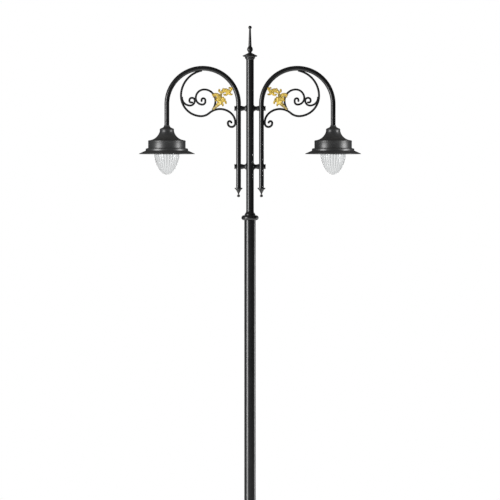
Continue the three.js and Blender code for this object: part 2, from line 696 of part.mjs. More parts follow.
// The frame that carries the bowl, with its hinge barrel and the tab that rests on the latch.
function bowlRing() {
  const path = profile(
    [RING.inner, RING.low],
    [RING.outer, RING.low],
    [RING.outer, RING.high],
    [RING.lip, RING.high],
    [RING.lip, RING.low + RING.step],
    [RING.inner, RING.low + RING.step],
  );
  path.closePath();
  const middle = (RING.low + RING.high) / 2;
  const thickness = RING.high - RING.low;
  const ear = block([29, 20, thickness], [0, BOWL_PIN.y - 12, middle]);
  const barrel = crossRod(6.5, 29, [0, BOWL_PIN.y, BOWL_PIN.z], 16);
  const tab = block([24, 20, thickness], [0, LATCH.y + LATCH.knob + 15, middle]);
  const pinHole = crossRod(BOWL_PIN.radius + GAP, 60, [0, BOWL_PIN.y, BOWL_PIN.z], 12);
  return cut(join(turned(path, 24), ear, barrel, tab), pinHole);
}

// Half the width of the bowl at a depth below its rim line, which makes the egg shape.
function bowlRadius(depth) {
  return BOWL.radius * Math.sqrt(Math.max(0, 1 - (depth / (BOWL.high - BOWL.tip)) ** BOWL.swell));
}

function bowl() {
  const rings = 5;
  const depth = BOWL.high - BOWL.tip;
  const wallPoints = (inset) => Array.from({ length: rings }, (_, i) => {
    const below = depth * Math.cos((Math.PI / 2) * (i / rings));
    return [Math.max(bowlRadius(below) - inset, 0), BOWL.high - below + (i === 0 ? inset : inset * 0.4)];
  });
  const outside = wallPoints(0);
  const inside = wallPoints(BOWL.wall).reverse();
  const seat = RING.low + RING.step + GAP;
  const path = profile(
    ...outside,
    [BOWL.radius, BOWL.high],
    [BOWL.rim, seat],
    [135.5, seat],
    [135.5, seat + 4],
    [BOWL.radius - BOWL.wall, seat + 4],
    [BOWL.radius - BOWL.wall, BOWL.high],
    ...inside,
  );
  return turned(path, 24);
}

function bowlPin() {
  return crossRod(BOWL_PIN.radius, 2 * BOWL_PIN.halfLength, [0, BOWL_PIN.y, BOWL_PIN.z], 12);
}

// A quarter-turn catch in the brim: a head above it, a stem through it, and a knob whose tongue
// turns under the tab of the bowl ring.
function bowlLatch() {
  const high = RING.low - LATCH.play;
  const knob = upright(discShape(LATCH.knob, 12), LATCH.low, high);
  const grip = block([2 * LATCH.grip, 3.5, 7], [0, 0, LATCH.low + 3.5]);
  const tongue = block([2 * LATCH.tongue, 8, 3], [0, 0, high - 1.5]);
  const stem = upright(discShape(LATCH.stem, 12), high - 1, BRIM.high + 1);
  const head = upright(discShape(LATCH.head, 12), BRIM.high + GAP, BRIM.high + 3);
  return join(knob, grip, tongue, stem, head).translate(0, LATCH.y, 0);
}

// ---- Assembly ----

const lamp = new THREE.Group();

lamp.add(
  piece('base_plate', basePlate(), ZINC),
  piece('base_cover', baseCover(), CAST_BLACK),
  piece('base_column', baseColumn(), CAST_BLACK),
  piece('access_door', accessDoor(), CAST_BLACK),
  piece('door_hinge_pin', doorPin(), ZINC),
  piece('door_lock', doorLock(), ZINC),
  piece('fuse_box', fuseBox(), GREY_PLASTIC),
  piece('lower_shaft', lowerShaft(), BLACK),
  piece('shaft_collar', shaftCollar(), CAST_BLACK),
  piece('upper_shaft', upperShaft(), BLACK),
  piece('top_cap', topCap(), CAST_BLACK),
  piece('finial', finial(), CAST_BLACK),
);

for (const [level, height] of Object.entries(TIE_HEIGHTS)) {
  lamp.add(piece(`${level}_tie_rod`, crossRod(TIE.radius, 2 * TIE.reach, [0, 0, height]), ZINC));
}

for (const [side, mirror] of [['left', -1], ['right', 1]]) {
  const arm = new THREE.Group();
  arm.scale.x = mirror;
  arm.add(
    piece(`${side}_arm`, armTube(), BLACK),
    piece(`${side}_arm_tip`, armTip().translate(ARM.innerX, 0, 0), CAST_BLACK),
    piece(`${side}_outer_scroll`, outerScroll(), BLACK),
    piece(`${side}_inner_scroll`, innerScroll(), BLACK),
    piece(`${side}_small_scroll`, smallScroll(), BLACK),
    piece(`${side}_leaf`, leaf(), GOLD),
    piece(`${side}_lantern_cable`, lanternCable(), CABLE_JACKET),
  );
  for (const [level, height] of Object.entries(TIE_HEIGHTS)) {
    arm.add(piece(`${side}_${level}_spacer`, spacer(height), CAST_BLACK));
    arm.add(piece(`${side}_${level}_end_cap`, endCap(height), CAST_BLACK));
  }

  const lantern = new THREE.Group();
  lantern.position.x = ARM.outerX;
  lantern.add(
    piece(`${side}_lantern_neck`, lanternNeck(), CAST_BLACK),
    piece(`${side}_hood`, hood(), BLACK),
    piece(`${side}_drum`, drum(), BLACK),
    piece(`${side}_brim`, brim(), BLACK),
    piece(`${side}_gear_tray`, gearTray(), ZINC),
    piece(`${side}_driver`, driver(), ALUMINIUM),
    piece(`${side}_led_module`, ledModule(), ALUMINIUM),
    piece(`${side}_reflector`, reflector(), WHITE_PAINT),
    piece(`${side}_bowl_ring`, bowlRing(), BLACK),
    piece(`${side}_bowl`, bowl(), GLASS),
    piece(`${side}_bowl_hinge_pin`, bowlPin(), ZINC),
    piece(`${side}_bowl_latch`, bowlLatch(), ZINC),
  );
  arm.add(lantern);
  lamp.add(arm);
}

export default lamp;
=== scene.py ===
"""Looks for the street lamp post: turned tubes and castings, scrollwork, gilt leaves and lanterns.

Metres, +Z up. The arms spread along X, and -Y is the front.
"""
import json
import math
import random

import bmesh
import bpy
from mathutils import Matrix, Vector
from mathutils.kdtree import KDTree

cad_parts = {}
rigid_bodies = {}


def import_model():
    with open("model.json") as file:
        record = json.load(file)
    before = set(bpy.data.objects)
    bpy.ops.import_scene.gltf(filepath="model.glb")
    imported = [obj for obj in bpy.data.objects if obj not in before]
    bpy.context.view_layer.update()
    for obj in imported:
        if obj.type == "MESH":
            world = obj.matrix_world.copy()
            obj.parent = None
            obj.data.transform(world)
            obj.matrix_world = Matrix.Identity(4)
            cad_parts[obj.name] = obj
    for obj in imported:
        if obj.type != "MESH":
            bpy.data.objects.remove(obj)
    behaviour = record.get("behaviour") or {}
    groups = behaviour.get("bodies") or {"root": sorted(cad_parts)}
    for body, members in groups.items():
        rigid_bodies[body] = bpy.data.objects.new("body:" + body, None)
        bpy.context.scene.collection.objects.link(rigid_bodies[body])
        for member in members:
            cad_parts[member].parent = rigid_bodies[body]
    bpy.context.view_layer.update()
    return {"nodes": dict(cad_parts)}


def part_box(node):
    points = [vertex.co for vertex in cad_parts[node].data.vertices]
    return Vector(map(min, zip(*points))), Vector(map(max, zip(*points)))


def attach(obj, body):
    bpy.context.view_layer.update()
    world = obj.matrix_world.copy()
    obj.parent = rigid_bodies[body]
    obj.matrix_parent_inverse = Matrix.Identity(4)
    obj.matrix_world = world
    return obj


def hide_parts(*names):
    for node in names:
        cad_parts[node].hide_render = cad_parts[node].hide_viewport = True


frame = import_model()

SIDES = {"left": -1, "right": 1}
LEVELS = ("upper", "lower")
POST = "post"
SMOOTH_ANGLE = math.radians(32)
TUBE_SIDES = 96
NECK_SOCKET = 0.0337  # how far the arm's end stands in the socket of the lantern's neck


def middle(node):
    low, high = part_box(node)
    return (low + high) / 2


def half_width(node, axis=0):
    low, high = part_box(node)
    return (high[axis] - low[axis]) / 2


# Driving sizes, read from the frame.
ARM_RADIUS = half_width("right_arm", 1)
ARM_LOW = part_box("right_arm")[0]
ARM_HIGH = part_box("right_arm")[1]
INNER_X = ARM_LOW.x + ARM_RADIUS
OUTER_X = ARM_HIGH.x - ARM_RADIUS
ARM_SPAN = (OUTER_X - INNER_X) / 2
ARM_SPRING = ARM_HIGH.z - ARM_RADIUS - ARM_SPAN
ARM_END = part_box("right_lantern_neck")[1].z - NECK_SOCKET
TIE_HEIGHT = {level: middle(f"{level}_tie_rod").z for level in LEVELS}
DOOR_PIN = middle("door_hinge_pin")
LOCK_HEIGHT = middle("door_lock").z

# Sizes of details. A name that ends in MM is in millimetres, and other lengths are in metres.
LOCK_ANGLE = 32  # degrees round the column, from the front to the left
COLUMN_WALL_MM = 79.15
COLUMN_MM = 84.15
DOOR_FACE_MM = 87.45
KNUCKLES = (0.25, 0.52)
KNUCKLE_LENGTH = 0.04
KNUCKLE_RADIUS = 0.0075
KNUCKLE_BORE = 0.0043
LUG_OFFSET = 0.0243
BAR_RADIUS = {"outer": 0.0107, "inner": 0.01, "small": 0.01}
BOWL_RADIUS_MM = 126
BOWL_DEPTH_MM = 205
BOWL_RIM_MM = 4216
BOWL_WALL_MM = 4
FLUTES = 26
FLUTE_DEPTH = 0.0024
BOWL_PIN = (0.165, 4.234)  # Y and Z of the bowl's hinge
LATCH_Y = -0.171
CENTRE_Z = 3.257  # the height that the camera looks at
CAMERA_AWAY = 100
WORLD_LIGHT = 0.055


# ---- Small mesh tools ----

def mesh_of(name, bm):
    """Turns a bmesh into a mesh, and frees it."""
    mesh = bpy.data.meshes.new(name)
    bm.to_mesh(mesh)
    bm.free()
    return mesh


def add_object(name, data):
    thing = bpy.data.objects.new(name, data)
    bpy.context.scene.collection.objects.link(thing)
    return thing


def finish_mesh(name, bm, material, *replaced, crease=SMOOTH_ANGLE, body=POST):
    """A piece that rides on a body and stands for CAD nodes, smooth except at sharp edges."""
    bmesh.ops.recalc_face_normals(bm, faces=bm.faces)
    mesh = mesh_of(name, bm)
    mesh.shade_smooth()
    mesh.set_sharp_from_angle(angle=crease)
    mesh.materials.append(material)
    return place(add_object(name, mesh), material, *replaced, body=body)


def place(piece, material, *replaced, body=POST):
    """Says what a piece rides on and which CAD nodes it stands for. The material is not used."""
    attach(piece, body)
    if replaced:
        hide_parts(*replaced)
    return piece


def look(node, bm, material, body=POST, crease=SMOOTH_ANGLE):
    """The piece that stands for one CAD node."""
    return finish_mesh(f"{node}.look", bm, material, node, crease=crease, body=body)


class Outline:
    """An outline drawn in millimetres. A corner may have a third number, its rounding."""

    def __init__(self, *corners):
        self.corners = [tuple(corner) for corner in corners]

    def line(self, *corners):
        self.corners += corners
        return self

    def curve(self, *controls, steps=10):
        """A Bezier curve of any degree, on from the last corner."""
        start = self.corners[-1][:2]
        for k in range(1, steps + 1):
            level = [Vector(p) for p in (start, *controls)]
            while len(level) > 1:
                level = [p.lerp(q, k / steps) for p, q in zip(level, level[1:])]
            self.corners.append(tuple(level[0]))
        return self

    def arc(self, centre, radius, start, end, steps=14):
        """An arc about a centre, with its angles in degrees."""
        for k in range(steps + 1):
            angle = math.radians(start + (end - start) * k / steps)
            self.corners.append((centre[0] + radius * math.cos(angle), centre[1] + radius * math.sin(angle)))
        return self

    def points(self, round_steps=4):
        """The points in metres, with each rounded corner eased by a curve."""
        result = []
        count = len(self.corners)
        for i, corner in enumerate(self.corners):
            here = Vector(corner[:2])
            if len(corner) < 3:
                result.append(here / 1000)
                continue
            start = here + (Vector(self.corners[i - 1][:2]) - here).normalized() * corner[2]
            end = here + (Vector(self.corners[(i + 1) % count][:2]) - here).normalized() * corner[2]
            for k in range(round_steps + 1):
                t = k / round_steps
                result.append((start * (1 - t) ** 2 + here * 2 * t * (1 - t) + end * t ** 2) / 1000)
        return result


def lathe(outline, centre=(0, 0, 0), along_x=False, closed=True, sides=TUBE_SIDES, squeeze=1.0, ripple=None):
    """Turns an outline of (radius, height) about Z, or about X, and returns its bmesh.

    ripple(angle, radius, height) gives a changed radius, for flutes, and squeeze narrows the shape in Y.
    """
    bm = bmesh.new()
    rings = []
    for radius, height in outline:
        if radius < 1e-6:
            rings.append([bm.verts.new((0, 0, height))])
            continue
        ring = []
        for k in range(sides):
            angle = 2 * math.pi * k / sides
            reach = ripple(angle, radius, height) if ripple else radius
            ring.append(bm.verts.new((reach * math.cos(angle), reach * math.sin(angle), height)))
        rings.append(ring)
    pairs = list(zip(rings, rings[1:]))
    if closed and len(rings[0]) > 1 and len(rings[-1]) > 1:
        pairs.append((rings[-1], rings[0]))
    for low, high in pairs:
        join_rings(bm, low, high, sides)
    turn = Matrix.Rotation(math.pi / 2, 4, "Y") if along_x else Matrix.Identity(4)
    shape = Matrix.Diagonal((1, squeeze, 1, 1))
    bm.transform(Matrix.Translation(Vector(centre)) @ shape @ turn)
    return bm


def join_rings(bm, low, high, sides):
    if len(low) == 1 and len(high) == 1:
        return
    for k in range(sides):
        n = (k + 1) % sides
        if len(low) == 1:
            bm.faces.new((low[0], high[n], high[k]))
        elif len(high) == 1:
            bm.faces.new((low[k], low[n], high[0]))
        else:
            bm.faces.new((low[k], low[n], high[n], high[k]))


def chain(start, heading, runs, step=4.0):
    """Points on a flat curve of straight runs (length, 0) and arcs (radius, turn in degrees)."""
    point = Vector(start)
    direction = math.radians(heading)
    points = [point.copy()]
    for size, turn in runs:
        if turn == 0:
            point = point + Vector((math.cos(direction), math.sin(direction))) * size
            points.append(point.copy())
            continue
        count = max(2, math.ceil(abs(turn) / step))
        bend = math.radians(turn) / count
        chord = 2 * size * math.sin(abs(bend) / 2)
        for _ in range(count):
            heading_now = direction + bend / 2
            point = point + Vector((math.cos(heading_now), math.sin(heading_now))) * chord
            direction += bend
            points.append(point.copy())
    return points


def sweep(points, radius_at, sides=20, side=1, y=0.0, inner=None):
    """A bar or tube along flat points. radius_at(share) gives its radius; inner, if given, its bore."""
    bm = bmesh.new()
    lengths = [0.0]
    for a, b in zip(points, points[1:]):
        lengths.append(lengths[-1] + (b - a).length)
    rings = []
    bores = []
    for i, point in enumerate(points):
        ahead = points[min(i + 1, len(points) - 1)] - points[max(i - 1, 0)]
        normal = Vector((-ahead.y, ahead.x)).normalized()
        radius = radius_at(lengths[i] / lengths[-1])
        rings.append(section(bm, point, normal, radius, sides, side, y))
        if inner:
            bores.append(section(bm, point, normal, inner, sides, side, y))
    for low, high in zip(rings, rings[1:]):
        join_rings(bm, low, high, sides)
    if inner:
        for low, high in zip(bores, bores[1:]):
            join_rings(bm, low, high, sides)
        join_rings(bm, rings[0], bores[0], sides)
        join_rings(bm, rings[-1], bores[-1], sides)
    else:
        bm.faces.new(rings[0])
        bm.faces.new(rings[-1])
    return bm


def section(bm, point, normal, radius, sides, side, y):
    ring = []
    for k in range(sides):
        angle = 2 * math.pi * k / sides
        across = normal * (radius * math.cos(angle))
        depth = y + radius * math.sin(angle)
        ring.append(bm.verts.new((side * (point.x + across.x), depth, point.y + across.y)))
    return ring


def box_mesh(bm, low, high, bevel=0.0008):
    """Adds a block with eased edges to a bmesh."""
    made = bmesh.ops.create_cube(bm, size=1.0)
    size = Vector(high) - Vector(low)
    centre = (Vector(high) + Vector(low)) / 2
    for vert in made["verts"]:
        vert.co = Vector((vert.co.x * size.x, vert.co.y * size.y, vert.co.z * size.z)) + centre
    edges = list({edge for vert in made["verts"] for edge in vert.link_edges})
    bmesh.ops.bevel(bm, geom=edges, offset=bevel, segments=2, affect="EDGES", profile=0.5)
    return bm


def merge(target, *others):
    """Adds other bmeshes into the first."""
    for other in others:
        mesh = mesh_of("merging", other)
        target.from_mesh(mesh)
        bpy.data.meshes.remove(mesh)
    return target


def moved(bm, matrix):
    bm.transform(matrix)
    return bm


def about(angle, axis):
    return Matrix.Rotation(math.radians(angle), 4, axis)


# ---- Materials ----

class Nodes:
    """A material's node tree with short ways to add and join nodes."""

    def __init__(self, name):
        self.material = bpy.data.materials.new(name)
        self.material.use_nodes = True
        self.tree = self.material.node_tree
        self.shader = self.tree.nodes["Principled BSDF"]
        self.coords = self.add("ShaderNodeTexCoord")

    def add(self, kind, **settings):
        node = self.tree.nodes.new(kind)
        for key, value in settings.items():
            setattr(node, key, value)
        return node

    def link(self, source, target):
        self.tree.links.new(source, target)

    def noise(self, scale, detail=4.0, roughness=0.5, stretch=(1, 1, 1)):
        mapping = self.add("ShaderNodeMapping")
        mapping.inputs["Scale"].default_value = stretch
        self.link(self.coords.outputs["Object"], mapping.inputs["Vector"])
        node = self.add("ShaderNodeTexNoise")
        node.inputs["Scale"].default_value = scale
        node.inputs["Detail"].default_value = detail
        node.inputs["Roughness"].default_value = roughness
        self.link(mapping.outputs["Vector"], node.inputs["Vector"])
        return node.outputs["Fac"]

    def spots(self, scale):
        node = self.add("ShaderNodeTexVoronoi")
        node.inputs["Scale"].default_value = scale
        self.link(self.coords.outputs["Object"], node.inputs["Vector"])
        return node.outputs["Distance"], node.outputs["Color"]

    def ramp(self, source, stops):
        """A colour ramp. stops are (place, colour) pairs."""
        node = self.add("ShaderNodeValToRGB")
        elements = node.color_ramp.elements
        while len(elements) < len(stops):
            elements.new(0.5)
        for element, (place_at, colour) in zip(elements, stops):
            element.position = place_at
            element.color = (*colour, 1) if len(colour) == 3 else colour
        self.link(source, node.inputs["Fac"])
        return node.outputs["Color"]

    def range(self, source, low, high, from_low=0.0, from_high=1.0):
        node = self.add("ShaderNodeMapRange")
        node.inputs["From Min"].default_value = from_low
        node.inputs["From Max"].default_value = from_high
        node.inputs["To Min"].default_value = low
        node.inputs["To Max"].default_value = high
        self.link(source, node.inputs["Value"])
        return node.outputs["Result"]

    def mix(self, share, first, second, blend="MIX"):
        node = self.add("ShaderNodeMix", data_type="RGBA", blend_type=blend)
        for socket, value in (("Factor", share), ("A", first), ("B", second)):
            target = next(s for s in node.inputs if s.name == socket and s.enabled)
            if isinstance(value, bpy.types.NodeSocket):
                self.link(value, target)
            elif isinstance(value, tuple):
                target.default_value = (*value, 1)
            else:
                target.default_value = value
        return next(s for s in node.outputs if s.enabled)

    def math(self, operation, first, second):
        node = self.add("ShaderNodeMath", operation=operation)
        for i, value in enumerate((first, second)):
            if isinstance(value, bpy.types.NodeSocket):
                self.link(value, node.inputs[i])
            else:
                node.inputs[i].default_value = value
        return node.outputs[0]

    def attribute(self, name):
        return self.add("ShaderNodeAttribute", attribute_name=name).outputs["Fac"]

    def facing_up(self):
        normal = self.add("ShaderNodeNewGeometry").outputs["Normal"]
        split = self.add("ShaderNodeSeparateXYZ")
        self.link(normal, split.inputs["Vector"])
        return split.outputs["Z"]

    def bump(self, *layers):
        """Bump layers as (height, strength, distance), the last on top."""
        below = None
        for height, strength, distance in layers:
            node = self.add("ShaderNodeBump")
            node.inputs["Strength"].default_value = strength
            node.inputs["Distance"].default_value = distance
            self.link(height, node.inputs["Height"])
            if below:
                self.link(below, node.inputs["Normal"])
            below = node.outputs["Normal"]
        self.link(below, self.shader.inputs["Normal"])

    def set(self, **values):
        for key, value in values.items():
            socket = self.shader.inputs[key.replace("_", " ")]
            if isinstance(value, bpy.types.NodeSocket):
                self.link(value, socket)
            elif isinstance(value, tuple):
                socket.default_value = (*value, 1)
            else:
                socket.default_value = value


def satin_black(name, grain, tone, smoothest=0.34, gloss=1.0, mottling=0.16):
    """Black exterior paint: mottled, dustier and lighter where it faces up, partly dust and partly a painted
    top light, with orange peel or casting grain.
    """
    nodes = Nodes(name)
    cloud = nodes.noise(3.1, 5.0, 0.55)
    fine = nodes.noise(62.0, 3.0, 0.6)
    streak = nodes.noise(9.0, 4.0, 0.6, stretch=(1, 1, 0.12))
    base = nodes.ramp(cloud, [
        (0.3, tuple(0.8 * c for c in tone)),
        (0.55, tone),
        (0.75, tuple(1.3 * c for c in tone)),
    ])
    weathered = nodes.mix(nodes.range(streak, 0.0, 1.4 * mottling, 0.5, 0.75), base, (0.055, 0.056, 0.057))
    # Up-facing surfaces are lightened: dust, and a painted top light as well.
    dust_and_top_light = nodes.math("MULTIPLY", nodes.range(nodes.facing_up(), 0.0, 0.4, 0.35, 1.0),
                      nodes.range(fine, 0.25, 1.0, 0.35, 0.65))
    colour = nodes.mix(dust_and_top_light, weathered, (0.105, 0.1, 0.092))
    mottle = nodes.math("ADD", cloud, nodes.math("MULTIPLY", fine, 0.35))
    rough = nodes.range(mottle, smoothest, smoothest + mottling, 0.4, 0.95)
    nodes.set(Base_Color=colour, Roughness=rough, Coat_Weight=0.25 * gloss, Coat_Roughness=0.85 * smoothest)
    nodes.shader.inputs["Specular IOR Level"].default_value = 0.55 * gloss
    peel = nodes.noise(210.0, 2.0, 0.5)
    lumps = nodes.noise(34.0, 5.0, 0.62)
    nodes.bump((lumps, 0.35 * grain, 0.0009), (peel, min(0.18, 0.4 * grain), 0.0004))
    return nodes.material


def gilt():
    """Gold paint with painted shade in the hollows and at the back and edges of each lobe, and a painted
    highlight on the forward ridges, which are also a little worn and smoother.
    """
    nodes = Nodes("gilt")
    relief = nodes.attribute("relief")
    cloud = nodes.noise(38.0, 5.0, 0.6)
    fine = nodes.noise(190.0, 3.0, 0.5)
    height = nodes.math("ADD", relief, nodes.range(cloud, -0.14, 0.14, 0.3, 0.7))
    # The ramp paints shade where the relief is low and a highlight where it is high.
    colour = nodes.ramp(height, [
        (0.08, (0.17, 0.105, 0.015)),
        (0.35, (0.46, 0.3, 0.04)),
        (0.62, (0.66, 0.45, 0.07)),
        (0.92, (0.8, 0.58, 0.13)),
    ])
    # The stems are painted paler and greyer: a painted sheen of light on them.
    pale = nodes.math("MULTIPLY", nodes.attribute("pale"), 0.6)
    colour = nodes.mix(pale, colour, (0.46, 0.39, 0.2))
    nodes.set(Base_Color=colour, Metallic=0.72, Roughness=nodes.range(height, 0.52, 0.3, 0.1, 0.9))
    nodes.bump((cloud, 0.3, 0.0008), (fine, 0.2, 0.0003))
    return nodes.material


def fluted_glass():
    """Thin pale glass with painted light and shade along the flutes, brighter on each crest and darker in
    each valley, and a glossy face.
    """
    nodes = Nodes("fluted_glass")
    cloud = nodes.noise(14.0, 3.0, 0.5)
    grime = nodes.noise(55.0, 4.0, 0.65, stretch=(1, 1, 0.3))
    # The flute attribute paints light on each crest and shade in each valley.
    line = nodes.math("ADD", nodes.attribute("flute"), nodes.range(cloud, -0.06, 0.06, 0.3, 0.7))
    nodes.set(
        Base_Color=nodes.ramp(line, [(0.1, (0.68, 0.69, 0.692)), (0.9, (0.9, 0.905, 0.905))]),
        Roughness=nodes.range(grime, 0.02, 0.05, 0.35, 0.75),
        Transmission_Weight=1.0,
        IOR=1.05,
        Coat_Weight=0.3,
        Coat_Roughness=0.3,
    )
    nodes.bump((cloud, 0.04, 0.0002))
    return nodes.material


def galvanised():
    nodes = Nodes("galvanised")
    distance, cells = nodes.spots(120.0)
    cloud = nodes.noise(20.0, 4.0, 0.6)
    spangle = nodes.add("ShaderNodeRGBToBW")
    nodes.link(cells, spangle.inputs["Color"])
    tone = nodes.math("ADD", nodes.math("MULTIPLY", spangle.outputs[0], 0.35), cloud)
    nodes.set(
        Base_Color=nodes.ramp(tone, [(0.45, (0.33, 0.34, 0.36)), (0.85, (0.6, 0.61, 0.63))]),
        Metallic=0.9,
        Roughness=nodes.range(tone, 0.3, 0.5, 0.4, 0.9),
    )
    nodes.bump((distance, 0.1, 0.0003), (cloud, 0.2, 0.0004))
    return nodes.material


def anodised():
    nodes = Nodes("anodised_aluminium")
    brush = nodes.noise(90.0, 4.0, 0.6, stretch=(0.06, 1, 1))
    cloud = nodes.noise(12.0, 3.0, 0.5)
    nodes.set(
        Base_Color=nodes.ramp(cloud, [(0.35, (0.6, 0.61, 0.62)), (0.7, (0.74, 0.75, 0.76))]),
        Metallic=0.92,
        Roughness=nodes.range(brush, 0.26, 0.44, 0.3, 0.7),
    )
    nodes.bump((brush, 0.12, 0.0002))
    return nodes.material


def white_enamel():
    nodes = Nodes("white_enamel")
    cloud = nodes.noise(16.0, 4.0, 0.55)
    peel = nodes.noise(230.0, 2.0, 0.5)
    nodes.set(
        Base_Color=nodes.ramp(cloud, [(0.3, (0.72, 0.72, 0.69)), (0.65, (0.86, 0.86, 0.84))]),
        Roughness=nodes.range(cloud, 0.3, 0.48, 0.3, 0.7),
        Coat_Weight=0.2,
    )
    nodes.bump((peel, 0.12, 0.0003))
    return nodes.material


def moulded_grey():
    nodes = Nodes("moulded_grey")
    grain = nodes.noise(320.0, 3.0, 0.55)
    cloud = nodes.noise(9.0, 3.0, 0.5)
    nodes.set(
        Base_Color=nodes.ramp(cloud, [(0.35, (0.1, 0.105, 0.11)), (0.7, (0.16, 0.165, 0.17))]),
        Roughness=nodes.range(grain, 0.45, 0.65, 0.3, 0.7),
    )
    nodes.bump((grain, 0.3, 0.0003))
    return nodes.material


def cable_rubber():
    nodes = Nodes("cable_rubber")
    scuff = nodes.noise(45.0, 4.0, 0.6, stretch=(1, 1, 0.2))
    nodes.set(
        Base_Color=nodes.ramp(scuff, [(0.35, (0.012, 0.012, 0.013)), (0.75, (0.035, 0.035, 0.036))]),
        Roughness=nodes.range(scuff, 0.5, 0.75, 0.3, 0.7),
    )
    nodes.bump((scuff, 0.2, 0.0003))
    return nodes.material


def chip_phosphor():
    """The yellow lenses of the light chips."""
    nodes = Nodes("chip_phosphor")
    speck = nodes.noise(900.0, 2.0, 0.5)
    nodes.set(
        Base_Color=nodes.ramp(speck, [(0.35, (0.7, 0.55, 0.1)), (0.7, (0.85, 0.74, 0.3))]),
        Roughness=nodes.range(speck, 0.15, 0.3, 0.3, 0.7),
        Coat_Weight=0.6,
    )
    return nodes.material


def clear_lens():
    nodes = Nodes("clear_lens")
    ripple = nodes.noise(60.0, 2.0, 0.4)
    nodes.set(
        Base_Color=nodes.ramp(ripple, [(0.3, (0.93, 0.94, 0.94)), (0.7, (0.98, 0.98, 0.98))]),
        Roughness=nodes.range(ripple, 0.03, 0.12, 0.3, 0.7),
        Transmission_Weight=0.95,
        IOR=1.49,
    )
    return nodes.material


def pale_floor():
    nodes = Nodes("pale_floor")
    cloud = nodes.noise(2.0, 3.0, 0.5)
    nodes.set(
        Base_Color=nodes.ramp(cloud, [(0.3, (0.78, 0.78, 0.77)), (0.7, (0.82, 0.82, 0.81))]),
        Roughness=nodes.range(cloud, 0.6, 0.7, 0.3, 0.7),
    )
    return nodes.material


BLACK_TUBE = satin_black("black_tube_paint", 0.04, (0.014, 0.0144, 0.015), smoothest=0.27, mottling=0.06)
BLACK_BAR = satin_black("black_bar_paint", 0.35, (0.011, 0.0113, 0.0118), smoothest=0.5, gloss=0.45)
BLACK_NECK = satin_black("lantern_neck_paint", 0.2, (0.022, 0.0225, 0.023), smoothest=0.5, gloss=0.5)
BLACK_SHELL = satin_black("lantern_shell_paint", 0.04, (0.022, 0.0225, 0.023), smoothest=0.36, mottling=0.06)
BLACK_CAST = satin_black("black_casting_paint", 0.6, (0.015, 0.0153, 0.016), smoothest=0.3, mottling=0.1)
GILT = gilt()
GLASS = fluted_glass()
ZINC = galvanised()
ALUMINIUM = anodised()
ENAMEL = white_enamel()
GREY = moulded_grey()
RUBBER = cable_rubber()
PHOSPHOR = chip_phosphor()
LENS = clear_lens()
FLOOR = pale_floor()


# ---- Shaping ----

def mirrored(bm, side):
    """The same shape on the given side of the post."""
    if side < 0:
        bm.transform(Matrix.Diagonal((-1, 1, 1, 1)))
    return bm


def carve(piece, *cutters):
    """Cuts bmesh shapes out of a finished piece."""
    for cutter in cutters:
        bmesh.ops.recalc_face_normals(cutter, faces=cutter.faces)
        mesh = mesh_of("cutter", cutter)
        tool = add_object("cutter", mesh)
        step = piece.modifiers.new("carve", "BOOLEAN")
        step.operation = "DIFFERENCE"
        step.object = tool
        step.solver = "EXACT"
        settle(piece)
        bpy.data.objects.remove(tool)
        bpy.data.meshes.remove(mesh)
    piece.data.set_sharp_from_angle(angle=SMOOTH_ANGLE)
    return piece


def settle(piece):
    """Applies a piece's modifiers to its mesh."""
    shaped = piece.evaluated_get(bpy.context.evaluated_depsgraph_get())
    mesh = bpy.data.meshes.new_from_object(shaped)
    piece.modifiers.clear()
    old = piece.data
    piece.data = mesh
    mesh.name = old.name
    bpy.data.meshes.remove(old)


def prism(sides, radius, low, high):
    """A many-sided block about Z, such as a nut, with eased ends."""
    shoulder = radius * 0.94
    ease = 0.0007
    wall = [(shoulder, low), (radius, low + ease), (radius, high - ease), (shoulder, high)]
    return lathe([*wall, (0, high), (0, low)], closed=False, sides=sides)


def screw_head(radius, height):
    """A pan head with a hexagon socket, standing on z = 0."""
    outline = Outline((radius * 1000, 0)).line((radius * 1000, height * 500))
    outline.curve((radius * 980, height * 1000), (radius * 600, height * 1000), steps=5)
    outline.line((radius * 420, height * 1000), (radius * 420, height * 450), (0, height * 450))
    return lathe([Vector((0, 0)), *outline.points()], closed=False, sides=24)


def side_screw(radius, height, angle, reach, level):
    """A screw head on the side of a round piece, facing out from its axis."""
    outward = Vector((math.cos(math.radians(angle)), math.sin(math.radians(angle)), 0))
    return aim(screw_head(radius, height), outward, outward * reach + Vector((0, 0, level)))


def aim(bm, direction, at):
    """Turns a shape that stands on z = 0 to face a direction, and moves it."""
    turn = Vector((0, 0, 1)).rotation_difference(Vector(direction)).to_matrix().to_4x4()
    bm.transform(Matrix.Translation(Vector(at)) @ turn)
    return bm


def weld_bead(points, radius, side, y, seed):
    """A rippled bead of weld along flat points."""
    ripple = random.Random(seed)
    phase = ripple.uniform(0, 6)
    count = len(points)
    return sweep(points, lambda share: radius * (0.75 + 0.25 * math.sin(phase + share * count * 1.9))
                 * (1 - abs(2 * share - 1) ** 8 * 0.7), sides=10, side=side, y=y)


# ---- Base ----

def base_cover():
    outline = Outline((219, 0), (225, 0, 1.5), (225, 28, 1.5))
    outline.curve((223, 44), (197, 48)).curve((112, 62), (102, 118), steps=18)
    outline.line((102, 136)).curve((102, 150), (90.45, 150), steps=8)
    outline.line((84.45, 150), (84.45, 126), (94, 118))
    outline.curve((106, 52), (193, 41), steps=14).curve((216, 36), (219, 28), steps=5)
    look("base_cover", lathe(outline.points()), BLACK_CAST)


def cover_screws():
    """Three grub screws that hold the cover to the column."""
    bm = bmesh.new()
    for angle in (60, 180, 300):
        merge(bm, side_screw(0.0045, 0.0028, angle, 0.1015, 0.127))
    finish_mesh("cover_screws", bm, ZINC)


